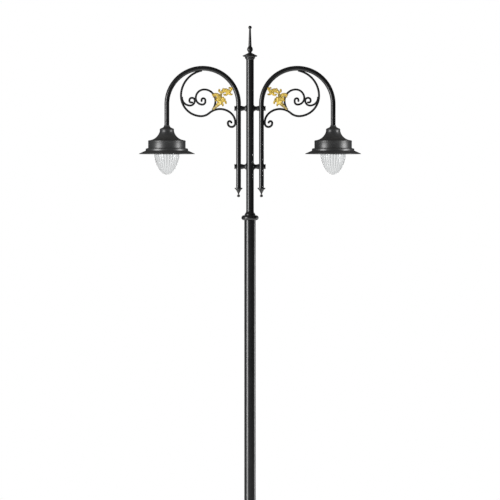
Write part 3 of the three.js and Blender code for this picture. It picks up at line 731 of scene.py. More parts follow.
def door_lug(height):
    """A lug on the column that holds the hinge pin."""
    pin = Vector((DOOR_PIN.x, DOOR_PIN.y, 0))
    outward = pin.normalized()
    length = pin.length - COLUMN_WALL_MM / 1000
    bm = box_mesh(bmesh.new(), (-0.007, -length, -0.004), (0.007, 0, 0.004), 0.001)
    merge(bm, prism_ring(KNUCKLE_RADIUS, KNUCKLE_BORE, -0.004, 0.004))
    angle = math.atan2(outward.y, outward.x) - math.pi / 2
    bm.transform(Matrix.Translation(pin + Vector((0, 0, height))) @ Matrix.Rotation(angle, 4, "Z"))
    return bm


def prism_ring(radius, bore, low, high, sides=40):
    """A plain ring with eased edges, about Z."""
    ease = 0.0006
    return lathe([(bore, low), (radius - ease, low), (radius, low + ease), (radius, high - ease),
                  (radius - ease, high), (bore, high)], sides=sides)


def base_column():
    outline = Outline((COLUMN_WALL_MM, 20.3), (COLUMN_MM, 20.3), (COLUMN_MM, 636, 3))
    outline.line((87.15, 640)).arc((87.15, 665), 25, -90, 90, steps=18)
    outline.line((80, 692, 1.5)).curve((78, 716), (66, 722)).curve((60, 726), (57.45, 735))
    outline.line((57.45, 600), (50, 600), (50, 594), (COLUMN_WALL_MM, 594))
    piece = look("base_column", lathe(outline.points()), BLACK_CAST)
    doorway = rounded_panel(0.055, 0.18, 0.59, 0.014)
    slab = bmesh.ops.extrude_face_region(doorway, geom=doorway.faces[:])
    for vert in slab["geom"]:
        if isinstance(vert, bmesh.types.BMVert):
            vert.co.y += 0.1
    carve(piece, doorway)
    lugs = bmesh.new()
    for height in KNUCKLES:
        for offset in (-LUG_OFFSET, LUG_OFFSET):
            merge(lugs, door_lug(height + offset))
    finish_mesh("door_lugs", lugs, BLACK_CAST)


def rounded_panel(half, low, high, corner):
    """A flat upright panel with rounded corners at y = -0.13."""
    bm = bmesh.new()
    outline = Outline((-half * 1000, low * 1000, corner * 1000), (half * 1000, low * 1000, corner * 1000),
                      (half * 1000, high * 1000, corner * 1000), (-half * 1000, high * 1000, corner * 1000))
    bm.faces.new([bm.verts.new((p.x, -0.13, p.y)) for p in outline.points(6)])
    return bm


def access_door():
    """The curved door: rows of points bent round the column, eased at the rim, with knuckles."""
    half_angle = math.radians(47)
    low, high, corner, ease = 0.172, 0.598, 0.016, 0.0012
    inner, outer = (COLUMN_MM + 0.3) / 1000, DOOR_FACE_MM / 1000
    reach = half_angle * outer
    bm = bmesh.new()

    def skin(inset, radius):
        rows = []
        heights = [low + inset + (corner - inset) * (1 - math.cos(math.pi / 2 * k / 6)) for k in range(7)]
        heights += [low + corner + (high - low - 2 * corner) * k / 8 for k in range(1, 8)]
        heights += [low + high - z for z in reversed(heights[:7])]
        for z in heights:
            edge = max(0.0, corner - min(z - low, high - z))
            cut_in = corner - inset - math.sqrt(max(0.0, (corner - inset) ** 2 - edge ** 2))
            half = reach - inset - cut_in
            row = []
            for k in range(41):
                angle = -math.pi / 2 + (2 * k / 40 - 1) * half / outer
                row.append(bm.verts.new((radius * math.cos(angle), radius * math.sin(angle), z)))
            rows.append(row)
        return rows

    back, side, front = skin(0, inner), skin(0, outer - ease), skin(ease, outer)
    for rows in (back, front):
        for lower, upper in zip(rows, rows[1:]):
            for k in range(40):
                bm.faces.new((lower[k], lower[k + 1], upper[k + 1], upper[k]))
    for first, second in ((back, side), (side, front)):
        rims = [rim(first), rim(second)]
        count = len(rims[0])
        for k in range(count):
            n = (k + 1) % count
            bm.faces.new((rims[0][k], rims[0][n], rims[1][n], rims[1][k]))
    piece = look("access_door", bm, BLACK_CAST, body="access_door")
    lock_hole = lathe([(0, 0.06), (0.0103, 0.06), (0.0103, 0.1), (0, 0.1)], closed=False, sides=48)
    carve(piece, to_lock(lock_hole))
    knuckles()


def rim(rows):
    """The edge of a grid of points, once round."""
    right = [row[-1] for row in rows[1:-1]]
    left = [row[0] for row in reversed(rows[1:-1])]
    return [*rows[0], *right, *reversed(rows[-1]), *left]


def to_lock(bm):
    """Turns a shape on the Z axis to stand out along the lock's axis."""
    turn = Matrix.Rotation(math.radians(-LOCK_ANGLE), 4, "Z") @ Matrix.Rotation(math.pi / 2, 4, "X")
    bm.transform(Matrix.Translation((0, 0, LOCK_HEIGHT)) @ turn)
    return bm


def knuckles():
    """The door's halves of its hinges: a barrel round the pin on a strap."""
    bm = bmesh.new()
    for height in KNUCKLES:
        low = height - KNUCKLE_LENGTH / 2
        high = low + KNUCKLE_LENGTH
        barrel = prism_ring(KNUCKLE_RADIUS, KNUCKLE_BORE, low, high)
        barrel.transform(Matrix.Translation((DOOR_PIN.x, DOOR_PIN.y, 0)))
        strap = box_mesh(bmesh.new(), (-0.009, -0.0899, low), (0.009, -0.0859, high), 0.0012)
        strap.transform(about(48.5, "Z"))
        merge(bm, barrel, strap)
    finish_mesh("door_knuckles", bm, BLACK_CAST, body="access_door")


def door_pin():
    low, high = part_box("door_hinge_pin")
    low, high = low.z * 1000, high.z * 1000
    outline = Outline((0, low)).line((3.2, low), (4, low + 1), (4, high - 4), (6.5, high - 4, 0.4))
    outline.line((6.5, high - 2)).curve((6.2, high), (0, high), steps=6)
    bm = lathe(outline.points(), centre=(DOOR_PIN.x, DOOR_PIN.y, 0), closed=False, sides=32)
    finish_mesh("door_pin.look", bm, ZINC, "door_hinge_pin")


def door_lock():
    """A triangular-key lock: chamfered face, threaded barrel, nut and cam."""
    face = DOOR_FACE_MM + 0.3
    outline = Outline((0, face + 1.2)).line((8, face + 1.2), (9, face + 2.5, 0.3), (13, face + 2.5, 0.6))
    outline.line((14, face + 1.5), (14, face), (10, face))
    thread = [(10 - 0.5 * (k % 2), face - 0.9 * k) for k in range(1, 20)]
    outline.line(*thread, (10, 68), (0, 68))
    bm = lathe(outline.points(), closed=False, sides=48)
    piece = look("door_lock", to_lock(bm), ZINC, body="door_lock")
    well = lathe([(0, 0.0795), (0.0055, 0.0795), (0.0055, 0.1), (0, 0.1)], closed=False, sides=3)
    carve(piece, to_lock(well))
    nut = prism_ring(0.0145, 0.0095, 0.0725, 0.0775, sides=6)
    cam = box_mesh(bmesh.new(), (-0.004, -0.025, 0.0655), (0.004, 0.025, 0.0685), 0.0008)
    bolt = aim(prism(6, 0.0055, 0, 0.0035), (0, 0, -1), (0, 0, 0.0655))
    finish_mesh("door_lock_cam", to_lock(merge(cam, nut, bolt)), ZINC, body="door_lock")


def fuse_box():
    """The cut-out with its cover, cable glands, screws and rail."""
    bm = box_mesh(bmesh.new(), (-0.032, -0.006, 0.355), (0.032, 0.038, 0.505), 0.003)
    merge(bm, box_mesh(bmesh.new(), (-0.028, -0.011, 0.37), (0.028, -0.005, 0.49), 0.0025))
    merge(bm, box_mesh(bmesh.new(), (-0.02, -0.0125, 0.418), (0.02, -0.0105, 0.462), 0.001))
    for x in (-0.0128, 0.0128):
        gland = Outline((0, 505)).line((9, 505), (9, 510, 0.5), (8, 511), (8, 515), (6, 516), (4, 516))
        gland.line((0, 516))
        merge(bm, lathe(gland.points(), centre=(x, 0.012, 0), closed=False, sides=32))
    look("fuse_box", bm, GREY)
    screws = bmesh.new()
    for x in (-0.0235, 0.0235):
        for z in (0.3755, 0.4845):
            merge(screws, aim(screw_head(0.0028, 0.0018), (0, -1, 0), (x, -0.011, z)))
    finish_mesh("fuse_box_screws", screws, ZINC)
    rail = box_mesh(bmesh.new(), (-0.015, 0.0378, 0.235), (0.015, 0.0428, 0.565), 0.0008)
    for z in (0.25, 0.55):
        merge(rail, box_mesh(bmesh.new(), (-0.015, 0.038, z - 0.0025), (0.015, 0.0765, z + 0.0025), 0.0008))
    finish_mesh("fuse_box_rail", rail, ZINC)


# ---- Shafts, collar, cap and finial ----

def tube(node, wall_mm):
    """A straight tube of the shaft, with its size from the frame."""
    low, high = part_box(node)
    radius = half_width(node) * 1000
    bottom, top = low.z * 1000, high.z * 1000
    outline = Outline((radius - wall_mm, bottom), (radius, bottom), (radius, top), (radius - wall_mm, top))
    look(node, lathe(outline.points()), BLACK_TUBE)


def shaft_collar():
    outline = Outline((34, 3494), (52.85, 3494), (52.85, 3575.3), (57.45, 3575.3), (57.45, 3556))
    outline.line((60.5, 3555, 0.8)).arc((61.5, 3579.5), 24.5, -86, 90, steps=18)
    outline.line((55.5, 3604), (54.2, 3605.2)).curve((54, 3619), (47, 3624)).curve((41, 3630), (38.35, 3643))
    outline.line((38.35, 3500), (34, 3500))
    look("shaft_collar", lathe(outline.points()), BLACK_CAST)


def top_cap():
    outline = Outline((0, 5175.3), (38.35, 5175.3), (38.35, 5157)).curve((41, 5168), (50, 5172))
    outline.line((50, 5178)).curve((48, 5186), (60, 5190)).line((70, 5192)).curve((76, 5198), (70, 5203))
    outline.curve((46, 5212), (17, 5229), steps=14).line((0, 5229))
    look("top_cap", lathe(outline.points(), closed=False), BLACK_CAST)


def finial():
    tip, ball = 5500, 17.5
    outline = Outline((0, 5229.3), (17, 5229.3)).curve((15, 5237), (20, 5241)).curve((29, 5250), (29, 5263))
    outline.curve((29, 5276), (20, 5287)).curve((15, 5293), (16, 5299)).line((9.6, 5462))
    outline.curve((9, 5465), (9, 5467.5))
    outline.arc((0, tip - ball), ball, -59, 90, steps=16)
    look("finial", lathe(outline.points(), closed=False, sides=64), BLACK_CAST)


# ---- Arms and ties ----

def arm(side, name):
    runs = [(ARM_SPRING - ARM_LOW.z, 0), (ARM_SPAN, -180), (ARM_SPRING - ARM_END, 0)]
    points = chain((INNER_X, ARM_LOW.z), 90, runs, step=2.5)
    bm = sweep(points, lambda share: ARM_RADIUS, sides=48, side=side, inner=ARM_RADIUS - 0.003)
    look(f"{name}_arm", bm, BLACK_TUBE)


def arm_tip(side, name):
    outline = Outline((0, 3785)).curve((15, 3785), (15, 3798)).curve((15, 3811), (4.5, 3812))
    outline.curve((9, 3828), (17, 3842)).curve((24, 3860), (38.4, 3868.4))
    outline.line((39, 3869.5, 0.6), (39, 3879, 0.8)).line((20.1, 3879), (20.1, 3905), (0, 3905))
    bm = lathe(outline.points(), centre=(side * INNER_X, 0, 0), closed=False, sides=64)
    look(f"{name}_arm_tip", bm, BLACK_CAST)


def spacer(side, name, level):
    """A spool whose ends run a little into the shaft and the arm, as if fettled to fit."""
    outline = Outline((16, 30), (45, 30), (45, 33, 0.8)).line((44, 36)).curve((22, 42), (21, 57), steps=12)
    outline.curve((21, 72), (26, 79)).line((26, 94), (16, 94))
    bm = lathe(outline.points(), centre=(0, 0, TIE_HEIGHT[level]), along_x=True, squeeze=0.62)
    look(f"{name}_{level}_spacer", mirrored(bm, side), BLACK_CAST)


def end_cap(side, name, level):
    """The dished stub on the outside of an arm."""
    start = (INNER_X + ARM_RADIUS) * 1000
    outline = Outline((8.3, start - 5), (26, start - 5), (26, start + 4.4, 0.8))
    outline.curve((21, start + 7), (21, start + 9), steps=6)
    outline.curve((21, start + 11), (26, start + 12), steps=6)
    outline.line((26, start + 15)).curve((25, start + 18), (20, start + 18), steps=6)
    outline.line((8.3, start + 13))
    bm = lathe(outline.points(), centre=(0, 0, TIE_HEIGHT[level]), along_x=True, sides=64)
    look(f"{name}_{level}_end_cap", mirrored(bm, side), BLACK_CAST)


def tie_rod(level):
    """The through rod, with a chamfered end in each dished cap."""
    reach = half_width(f"{level}_tie_rod") * 1000
    half = [(8, reach - 1.2), (6.8, reach), (0, reach)]
    outline = Outline(*[(radius, -x) for radius, x in reversed(half)], *half)
    bm = lathe(outline.points(), centre=(0, 0, TIE_HEIGHT[level]), along_x=True, closed=False, sides=40)
    look(f"{level}_tie_rod", bm, ZINC)


def dress(node, material):
    """A CAD piece that keeps its shape, and gets a material."""
    piece = frame["nodes"][node]
    piece.data.materials.clear()
    piece.data.materials.append(material)
    return piece


# ---- Scrollwork ----

# Each bar's start (X, Z) and heading, then its straight runs (length, 0) and arcs (radius, turn).
# Lengths are in millimetres. The large bar goes off the arch and over a hump to a volute by the arm.
# The middle one springs from its hump, and the small one from its far side.
SCROLLS = {
    "outer": ((480.65, 5051.7), -10.5, (
        (256, -79.5), (205, -86), (127.4, -45), (164, 86), (122, 45), (8, 0), (37, 180), (3, 0), (18, 90),
        (16, 60), (6, 0))),
    "inner": ((375.26, 4658.7), 126.1, (
        (155, -36.1), (112, -90), (85, -90), (66, -90), (30, -90), (12, 0), (21, -90), (17, -90), (10, 0))),
    "small": ((679.56, 4789.9), -84, (
        (80, -96), (47, -90), (5, 0), (25, -90), (4, 0), (24, -90), (6, 0), (16, -90), (11, 0))),
}


def scroll_line(kind):
    """The middle line of one bar of the scrollwork, in metres."""
    start, heading, runs = SCROLLS[kind]
    return chain([value / 1000 for value in start], heading, [(size / 1000, turn) for size, turn in runs])


def forged_end(points, radius, side):
    """The rounded end of a bar, very slightly swollen."""
    end = points[-1]
    away = (end - points[-2]).normalized()
    angles = [math.pi / 2 * k / 6 for k in range(7)]
    dome = [Vector((radius * math.cos(angle), radius * math.sin(angle))) for angle in angles]
    root = [Vector((x * radius, z * radius)) for x, z in ((0, -1.2), (0.9, -1.2), (1, -0.4))]
    bm = lathe([*root, *dome], closed=False, sides=24)
    return aim(bm, (side * away.x, 0, away.y), (side * end.x, 0, end.y))


def scroll(side, name, kind, points):
    radius = BAR_RADIUS[kind]
    bm = sweep(points, lambda share: radius, side=side)
    merge(bm, forged_end(points, 1.02 * radius, side))
    look(f"{name}_{kind}_scroll", bm, BLACK_BAR, crease=math.radians(50))


def scroll_welds(side, name, lines):
    """Beads where the bars meet the arch, the arm and each other."""
    bm = bmesh.new()
    seams = [lines["outer"][1:9], lines["inner"][0:3], lines["small"][0:3]]
    for seed, seam in enumerate(seams):
        for y in (-0.0095, 0.0095):
            merge(bm, weld_bead(seam, 0.0035, side, y, seed))
    finish_mesh(f"{name}_scroll_welds", bm, BLACK_BAR)


# ---- Leaf ----

LEAF_FORWARD = 0.0065
LEAF_FULLNESS = 1.28
LEAF_CURL = 0.0045
LEAF_BACK = 0.42
LEAF_FRONT = 0.52
# The stem lobes, painted paler as a painted sheen.
LEAF_STEMS = (0, 6)
# Each lobe: spine points (X, Z), half widths at root, belly and tip, and depth in Y, in millimetres.
LEAF_LOBES = [
    ([(372, 4662), (352, 4684), (324, 4702), (305, 4730)], (10, 10, 18), 10),
    ([(306, 4718), (297, 4745), (301, 4768), (292, 4800)], (17, 33, 9), 16),
    ([(296, 4766), (308, 4806), (342, 4820), (372, 4808)], (16, 18, 8), 12),
    ([(356, 4810), (354, 4800), (358, 4792), (366, 4788)], (9, 8, 6), 9),
    ([(330, 4804), (320, 4786), (326, 4774), (340, 4776)], (9, 8, 6), 9),
    ([(310, 4766), (322, 4760), (336, 4758), (342, 4750)], (12, 9, 7), 10),
    ([(294, 4790), (291, 4808), (288, 4824), (284, 4838)], (11, 8, 10), 10),
    ([(286, 4832), (300, 4836), (314, 4842), (307, 4858)], (8, 8, 8), 9),
    ([(280, 4838), (272, 4850), (268, 4860), (267, 4868)], (10, 9, 7), 9),
    ([(284, 4828), (268, 4858), (236, 4862), (206, 4834)], (11, 22, 12), 12),
    ([(224, 4836), (228, 4812), (246, 4800), (260, 4812)], (13, 9, 7), 10),
    ([(216, 4838), (206, 4816), (194, 4808), (180, 4814)], (12, 9, 6), 10),
    ([(224, 4850), (206, 4842), (190, 4850), (182, 4876)], (12, 13, 8), 10),
    ([(192, 4862), (192, 4878), (202, 4884), (209, 4876)], (8, 7, 6), 9),
    ([(288, 4752), (276, 4762), (270, 4774), (268, 4784)], (12, 10, 6), 10),
    ([(290, 4758), (276, 4768), (262, 4774), (250, 4764)], (12, 10, 6), 10),
    ([(294, 4730), (272, 4756), (246, 4758), (241, 4726)], (15, 10, 8), 11),
    ([(294, 4724), (278, 4722), (270, 4714), (272, 4702)], (12, 9, 7), 10),
    ([(312, 4718), (322, 4720), (326, 4714), (325, 4708)], (9, 7, 6), 9),
]


def lobe_spine(lobe, count=26, caps=5):
    """Places along a lobe, in metres: point, direction, half width, share of the way, and fullness.

    The fullness is 1 along the spine, and falls in the round cap at the tip.
    """
    controls, (root, belly, tip), _ = lobe
    controls = [Vector(p) / 1000 for p in controls]
    samples = []
    for k in range(count + 1):
        t = k / count
        weights = ((1 - t) ** 3, 3 * t * (1 - t) ** 2, 3 * t ** 2 * (1 - t), t ** 3)
        point = sum((w * p for w, p in zip(weights, controls)), Vector((0, 0)))
        slopes = (3 * (1 - t) ** 2, 6 * t * (1 - t), 3 * t ** 2)
        along = sum((w * (q - p) for w, p, q in zip(slopes, controls, controls[1:])), Vector((0, 0)))
        half = LEAF_FULLNESS * (root * (1 - t) ** 2 + 2 * belly * t * (1 - t) + tip * t ** 2) / 1000
        samples.append((point, along.normalized(), half, t, 1.0))
    end, along, half, _, _ = samples[-1]
    for k in range(1, caps + 1):
        angle = math.radians(80 * k / caps)
        fullness = math.cos(angle)
        samples.append((end + along * (half * math.sin(angle)), along, half * fullness, 1.0, fullness))
    return samples


def lobe_mesh(lobe, flutes):
    """One curled lobe: a ridge along its spine, hollows beside it, and a tip that rolls forward."""
    depth = lobe[2] / 1000
    across_count = 12
    bm = bmesh.new()
    rings = []
    for point, along, half, t, fullness in lobe_spine(lobe):
        normal = Vector((-along.y, along.x))
        thick = depth * (1 - 0.3 * t) * fullness ** 0.5
        curl = -LEAF_CURL * t ** 3
        ring = []
        for k in range(2 * across_count):
            angle = 2 * math.pi * k / (2 * across_count)
            v = math.cos(angle)
            lift = math.sin(angle)
            dome = abs(lift) ** 0.8
            relief = 1 + 0.2 * math.cos(flutes * math.pi * v) - 0.12 * (1 - abs(v))
            y = -LEAF_FORWARD + curl + (LEAF_BACK if lift > 0 else -LEAF_FRONT * relief) * thick * dome
            place_at = point + normal * (v * half)
            ring.append(bm.verts.new((place_at.x, y, place_at.y)))
        rings.append(ring)
    for low, high in zip(rings, rings[1:]):
        join_rings(bm, low, high, 2 * across_count)
    bm.faces.new(rings[0])
    bm.faces.new(rings[-1])
    bmesh.ops.recalc_face_normals(bm, faces=bm.faces)
    return bm


def leaf_mesh():
    """Both leaves come from this one: the lobes fused, then smoothed, with their relief recorded as painted
    shade and highlight.
    """
    bm = bmesh.new()
    for lobe in LEAF_LOBES:
        merge(bm, lobe_mesh(lobe, 4 if max(lobe[1]) > 15 else 2))
    block = add_object("leaf", mesh_of("leaf", bm))
    fuse = block.modifiers.new("fuse", "REMESH")
    fuse.mode = "VOXEL"
    fuse.voxel_size = 0.0011
    soften = block.modifiers.new("soften", "SMOOTH")
    soften.factor = 0.5
    soften.iterations = 2
    settle(block)
    mesh = block.data
    bpy.data.objects.remove(block)
    mark_leaf_shading(mesh)
    return mesh


def mark_leaf_shading(mesh):
    """Stores each point's painted light: lit where it stands forward and near its lobe's spine, in painted
    shade towards the back, the edges and the tips; and marks the stems, which are painted paler as a painted
    sheen.
    """
    places = []
    facts = []
    for index, lobe in enumerate(LEAF_LOBES):
        for point, _, half, t, _ in lobe_spine(lobe):
            places.append((point.x, 0, point.y))
            facts.append((half, t, index, lobe[2] / 1000))
    tree = KDTree(len(places))
    for index, spot in enumerate(places):
        tree.insert(spot, index)
    tree.balance()
    relief = mesh.attributes.new("relief", "FLOAT", "POINT")
    pale = mesh.attributes.new("pale", "FLOAT", "POINT")
    for vert in mesh.vertices:
        _, nearest, distance = tree.find((vert.co.x, 0, vert.co.z))
        half, t, index, depth = facts[nearest]
        edge = min(1.0, distance / max(half, 0.002))
        front = min(1.0, max(0.0, (-vert.co.y - LEAF_FORWARD) / (0.55 * depth) + 0.15))
        # relief is painted light: forward and central points lit, back, edge and tip points in painted shade.
        relief.data[vert.index].value = (0.2 + 0.8 * front) * (1 - 0.55 * edge ** 2) * (1 - 0.3 * t ** 2)
        pale.data[vert.index].value = 1.0 if index in LEAF_STEMS else 0.0


def leaf(side, name, mesh):
    copy = mesh.copy()
    copy.name = f"{name}_leaf.look"
    if side < 0:
        copy.transform(Matrix.Diagonal((-1, 1, 1, 1)))
        copy.flip_normals()
    copy.shade_smooth()
    copy.materials.append(GILT)
    place(add_object(f"{name}_leaf.look", copy), GILT, f"{name}_leaf")


# ---- Lantern ----

def at_lantern(bm, side, y=0.0):
    """Moves a shape from the Z axis to the lantern's axis."""
    bm.transform(Matrix.Translation((side * OUTER_X, y, 0)))
    return bm


def shell(side, node, outline, material, body=POST, closed=True, extra=None):
    """A turned piece of a lantern, with anything extra that is fixed to it."""
    bm = lathe(outline.points(), centre=(side * OUTER_X, 0, 0), closed=closed)
    if extra:
        merge(bm, at_lantern(extra, side))
    return look(node, bm, material, body=body)


def lantern_neck(side, name):
    outline = Outline((17, 4452), (71.4, 4452, 0.8), (71.4, 4461)).curve((70, 4471), (58, 4475))
    outline.curve((36, 4482), (31, 4493)).line((28, 4498, 0.5), (28, 4506, 0.8), (20.1, 4506))
    outline.line((20.1, 4540), (17, 4540))
    shell(side, f"{name}_lantern_neck", outline, BLACK_NECK)


def hood(side, name):
    outline = Outline((184, 4345), (187, 4345), (187, 4348)).curve((186, 4353), (178, 4354), steps=6)
    outline.curve((118, 4360), (80, 4404), (71.5, 4446), steps=24)
    outline.line((71.4, 4451.7), (17, 4451.7), (17, 4448.7), (69, 4448.7))
    outline.curve((77, 4401), (115, 4357), (177, 4351), steps=16)
    outline.curve((184, 4350), (184, 4345), steps=4)
    shell(side, f"{name}_hood", outline, BLACK_SHELL)


def drum(side, name):
    """The straight ring with its moulded ledge, and the screws that hold the hood."""
    outline = Outline((182, 4250), (212.4, 4250)).line((211.4, 4270.5, 3.5), (197, 4274.2, 3))
    outline.line((189, 4275.5), (187, 4277.5), (187, 4338), (188.2, 4340), (188.2, 4343), (187, 4344.7))
    outline.line((184, 4344.7), (184, 4253), (182, 4253))
    screws = bmesh.new()
    for angle in range(30, 360, 60):
        merge(screws, side_screw(0.004, 0.0025, angle, 0.1868, 4.33))
    finish_mesh(f"{name}_drum_screws", at_lantern(screws, side), BLACK_SHELL)
    shell(side, f"{name}_drum", outline, BLACK_SHELL)


def brim(side, name):
    """The brim, with a rolled edge, the hinge lugs under its back and the hole for the latch."""
    outline = Outline((158, 4246.7), (214, 4246.7, 2)).line((275.5, 4217.6))
    outline.arc((277.6, 4218.9), 2.4, -150, 60, steps=10).line((217, 4249.2), (215, 4249.7), (158, 4249.7))
    lugs = bmesh.new()
    for x in (-0.018, 0.018):
        box_mesh(lugs, (x - 0.0025, 0.16, 4.228), (x + 0.0025, 0.176, 4.2475), 0.001)
    stem_hole = at_lantern(prism(32, 0.0043, 4.24, 4.26), side, LATCH_Y)
    carve(shell(side, f"{name}_brim", outline, BLACK_SHELL, extra=lugs), stem_hole)


def bowl_radius(depth_mm):
    """The radius of the glass at a depth under its rim."""
    return BOWL_RADIUS_MM * math.sqrt(max(0.0, 1 - (depth_mm / BOWL_DEPTH_MM) ** 1.6))


def bowl(side, name):
    """The fluted glass: ribs outside that fade out at the rim and the tip, and a plain inside."""
    outside = []
    inside = []
    rows = 40
    bore = BOWL_RADIUS_MM - BOWL_WALL_MM
    tip = 0.03
    for k in range(rows + 1):
        below = BOWL_DEPTH_MM * math.cos(math.pi / 2 * k / rows)
        height = BOWL_RIM_MM - below
        raised = BOWL_WALL_MM * (1 - k / rows) ** 0.5
        outside.append((bowl_radius(below), height))
        inside.append((max(0.0, bowl_radius(below) - BOWL_WALL_MM), height + raised))
    outline = Outline(*outside).line((127.2, 4230), (127.2, 4233.3), (135.5, 4233.3), (135.5, 4237.3))
    outline.line((bore, 4237.3), (bore, 4217), *reversed(inside))

    def flute(angle, radius, height):
        depth = BOWL_RIM_MM / 1000 - height
        if radius < tip or depth < 0.0005:
            return radius
        wall = bowl_radius(depth * 1000) / 1000
        if abs(radius - wall) > 0.0006:
            return radius
        fade = min(1, depth / 0.012) * min(1, (radius - tip) / 0.05)
        return radius - FLUTE_DEPTH * fade * (0.5 - 0.5 * abs(math.cos(angle * FLUTES / 2)) ** 0.8)

    bm = lathe(outline.points(), centre=(side * OUTER_X, 0, 0), closed=False, sides=FLUTES * 10, ripple=flute)
    piece = look(f"{name}_bowl", bm, GLASS, body=f"{name}_bowl_frame")
    # Marks the crests, for the glass's painted light and shade.
    flute_light = piece.data.attributes.new("flute", "FLOAT", "POINT")
    for vert in piece.data.vertices:
        angle = math.atan2(vert.co.y, vert.co.x - side * OUTER_X)
        flute_light.data[vert.index].value = abs(math.cos(angle * FLUTES / 2))


def bowl_ring(side, name):
    """The hinged ring that holds the bowl, with its hinge barrel at the back and its tab at the front."""
    outline = Outline((127.6, 4230, 0.5), (146, 4230, 1), (146, 4238, 1), (136, 4238, 0.5), (136, 4233))
    outline.line((127.6, 4233))
    extra = bmesh.new()
    box_mesh(extra, (-0.0145, 0.143, 4.23), (0.0145, 0.163, 4.238), 0.001)
    box_mesh(extra, (-0.012, -0.158, 4.23), (0.012, -0.138, 4.238), 0.0015)
    barrel = lathe([(0.0033, -0.0145), (0.006, -0.0145), (0.0065, -0.014), (0.0065, 0.014), (0.006, 0.0145),
                    (0.0033, 0.0145)], centre=(0, *BOWL_PIN), along_x=True, sides=40)
    merge(extra, barrel)
    shell(side, f"{name}_bowl_ring", outline, BLACK_SHELL, body=f"{name}_bowl_frame", extra=extra)


def bowl_pin(side, name):
    outline = Outline((0, -22)).line((3.6, -22), (4.6, -21.3), (4.6, -20.6), (3, -20.5))
    outline.line((3, 21.2), (2.2, 22), (0, 22))
    bm = lathe(outline.points(), centre=(side * OUTER_X, *BOWL_PIN), along_x=True, closed=False, sides=32)
    look(f"{name}_bowl_hinge_pin", bm, ZINC)


def bowl_latch(side, name):
    """The quarter-turn catch in the brim: a knob with a wing, a tongue, and a stem with a round head."""
    outline = Outline((0, 4219.3)).line((6.8, 4219.3), (8, 4220.5), (8, 4226), (4, 4226.2))
    outline.line((4, 4250), (7, 4250), (7, 4251.6), (5.4, 4252.7), (0, 4252.7))
    knob = lathe(outline.points(), closed=False, sides=48)
    merge(knob, box_mesh(bmesh.new(), (-0.0104, -0.00175, 4.219), (0.0104, 0.00175, 4.2258), 0.0007))
    merge(knob, box_mesh(bmesh.new(), (-0.02, -0.004, 4.226), (0.02, 0.004, 4.229), 0.0006))
    node = f"{name}_bowl_latch"
    look(node, at_lantern(knob, side, LATCH_Y), ZINC, body=node)


def reflector(side, name):
    outline = Outline((134.5, 4251.2), (138, 4250.8, 0.6), (138.6, 4252.6, 0.6), (136, 4253.4), (96, 4289))
    shell(side, f"{name}_reflector", outline.line((93.5, 4289)), ENAMEL)


def led_module(side, name):
    """The light engine: a finned heat sink, a board of light chips and a shallow lens."""
    outline = Outline((0, 4272), (70, 4272), (70, 4264.5), (76.5, 4264.2), (88, 4264.2, 0.6), (88, 4270, 0.6))
    outline.line((82, 4271.6), (66, 4272.5), (60, 4274), (60, 4291.6), (0, 4291.6))
    fins = bmesh.new()
    for k in range(36):
        fin = box_mesh(bmesh.new(), (0.058, -0.0011, 4.2725), (0.082, 0.0011, 4.2914), 0.0004)
        merge(fins, moved(fin, about(10 * k, "Z")))
    shell(side, f"{name}_led_module", outline, ALUMINIUM, closed=False, extra=fins)
    chips = bmesh.new()
    for count, radius in ((6, 0.02), (12, 0.04), (18, 0.058)):
        for k in range(count):
            angle = 2 * math.pi * k / count
            x, y = radius * math.cos(angle), radius * math.sin(angle)
            box_mesh(chips, (x - 0.0022, y - 0.0022, 4.2702), (x + 0.0022, y + 0.0022, 4.2721), 0.0003)
    finish_mesh(f"{name}_light_chips", at_lantern(chips, side), PHOSPHOR)
    lens = Outline((0, 4254)).curve((50, 4255), (76, 4264), steps=16).line((76, 4266))
    lens.curve((50, 4257), (0, 4256), steps=16)
    bm = lathe(lens.points(), centre=(side * OUTER_X, 0, 0), closed=False)
    finish_mesh(f"{name}_light_lens", bm, LENS)


def gear(name):
    """The tray and driver keep their shape, and get edges and finishes."""
    for part, material, edge in (("gear_tray", ZINC, 0.0004), ("driver", ALUMINIUM, 0.002)):
        bevel = dress(f"{name}_{part}", material).modifiers.new("eased edges", "BEVEL")
        bevel.width = edge
        bevel.segments = 2
        bevel.limit_method = "ANGLE"


def lantern(side, name):
    """Every piece of one lantern."""
    gear(name)
    shades = (lantern_neck, hood, drum, brim)
    lights = (led_module, reflector)
    bowls = (bowl, bowl_ring, bowl_pin, bowl_latch)
    for build in (*shades, *lights, *bowls):
        build(side, name)


# ---- Studio ----


def painted(*looks):
    return lambda piece: piece.data.materials and piece.data.materials[0] in looks


def called(*names):
    return lambda piece: piece.name.removesuffix(".look") in names


def gathered(name, wanted):
    """A collection of the wanted pieces, for light linking."""
    group = bpy.data.collections.new(name)
    for piece in bpy.data.objects:
        if piece.type == "MESH" and wanted(piece):
            group.objects.link(piece)
    return group


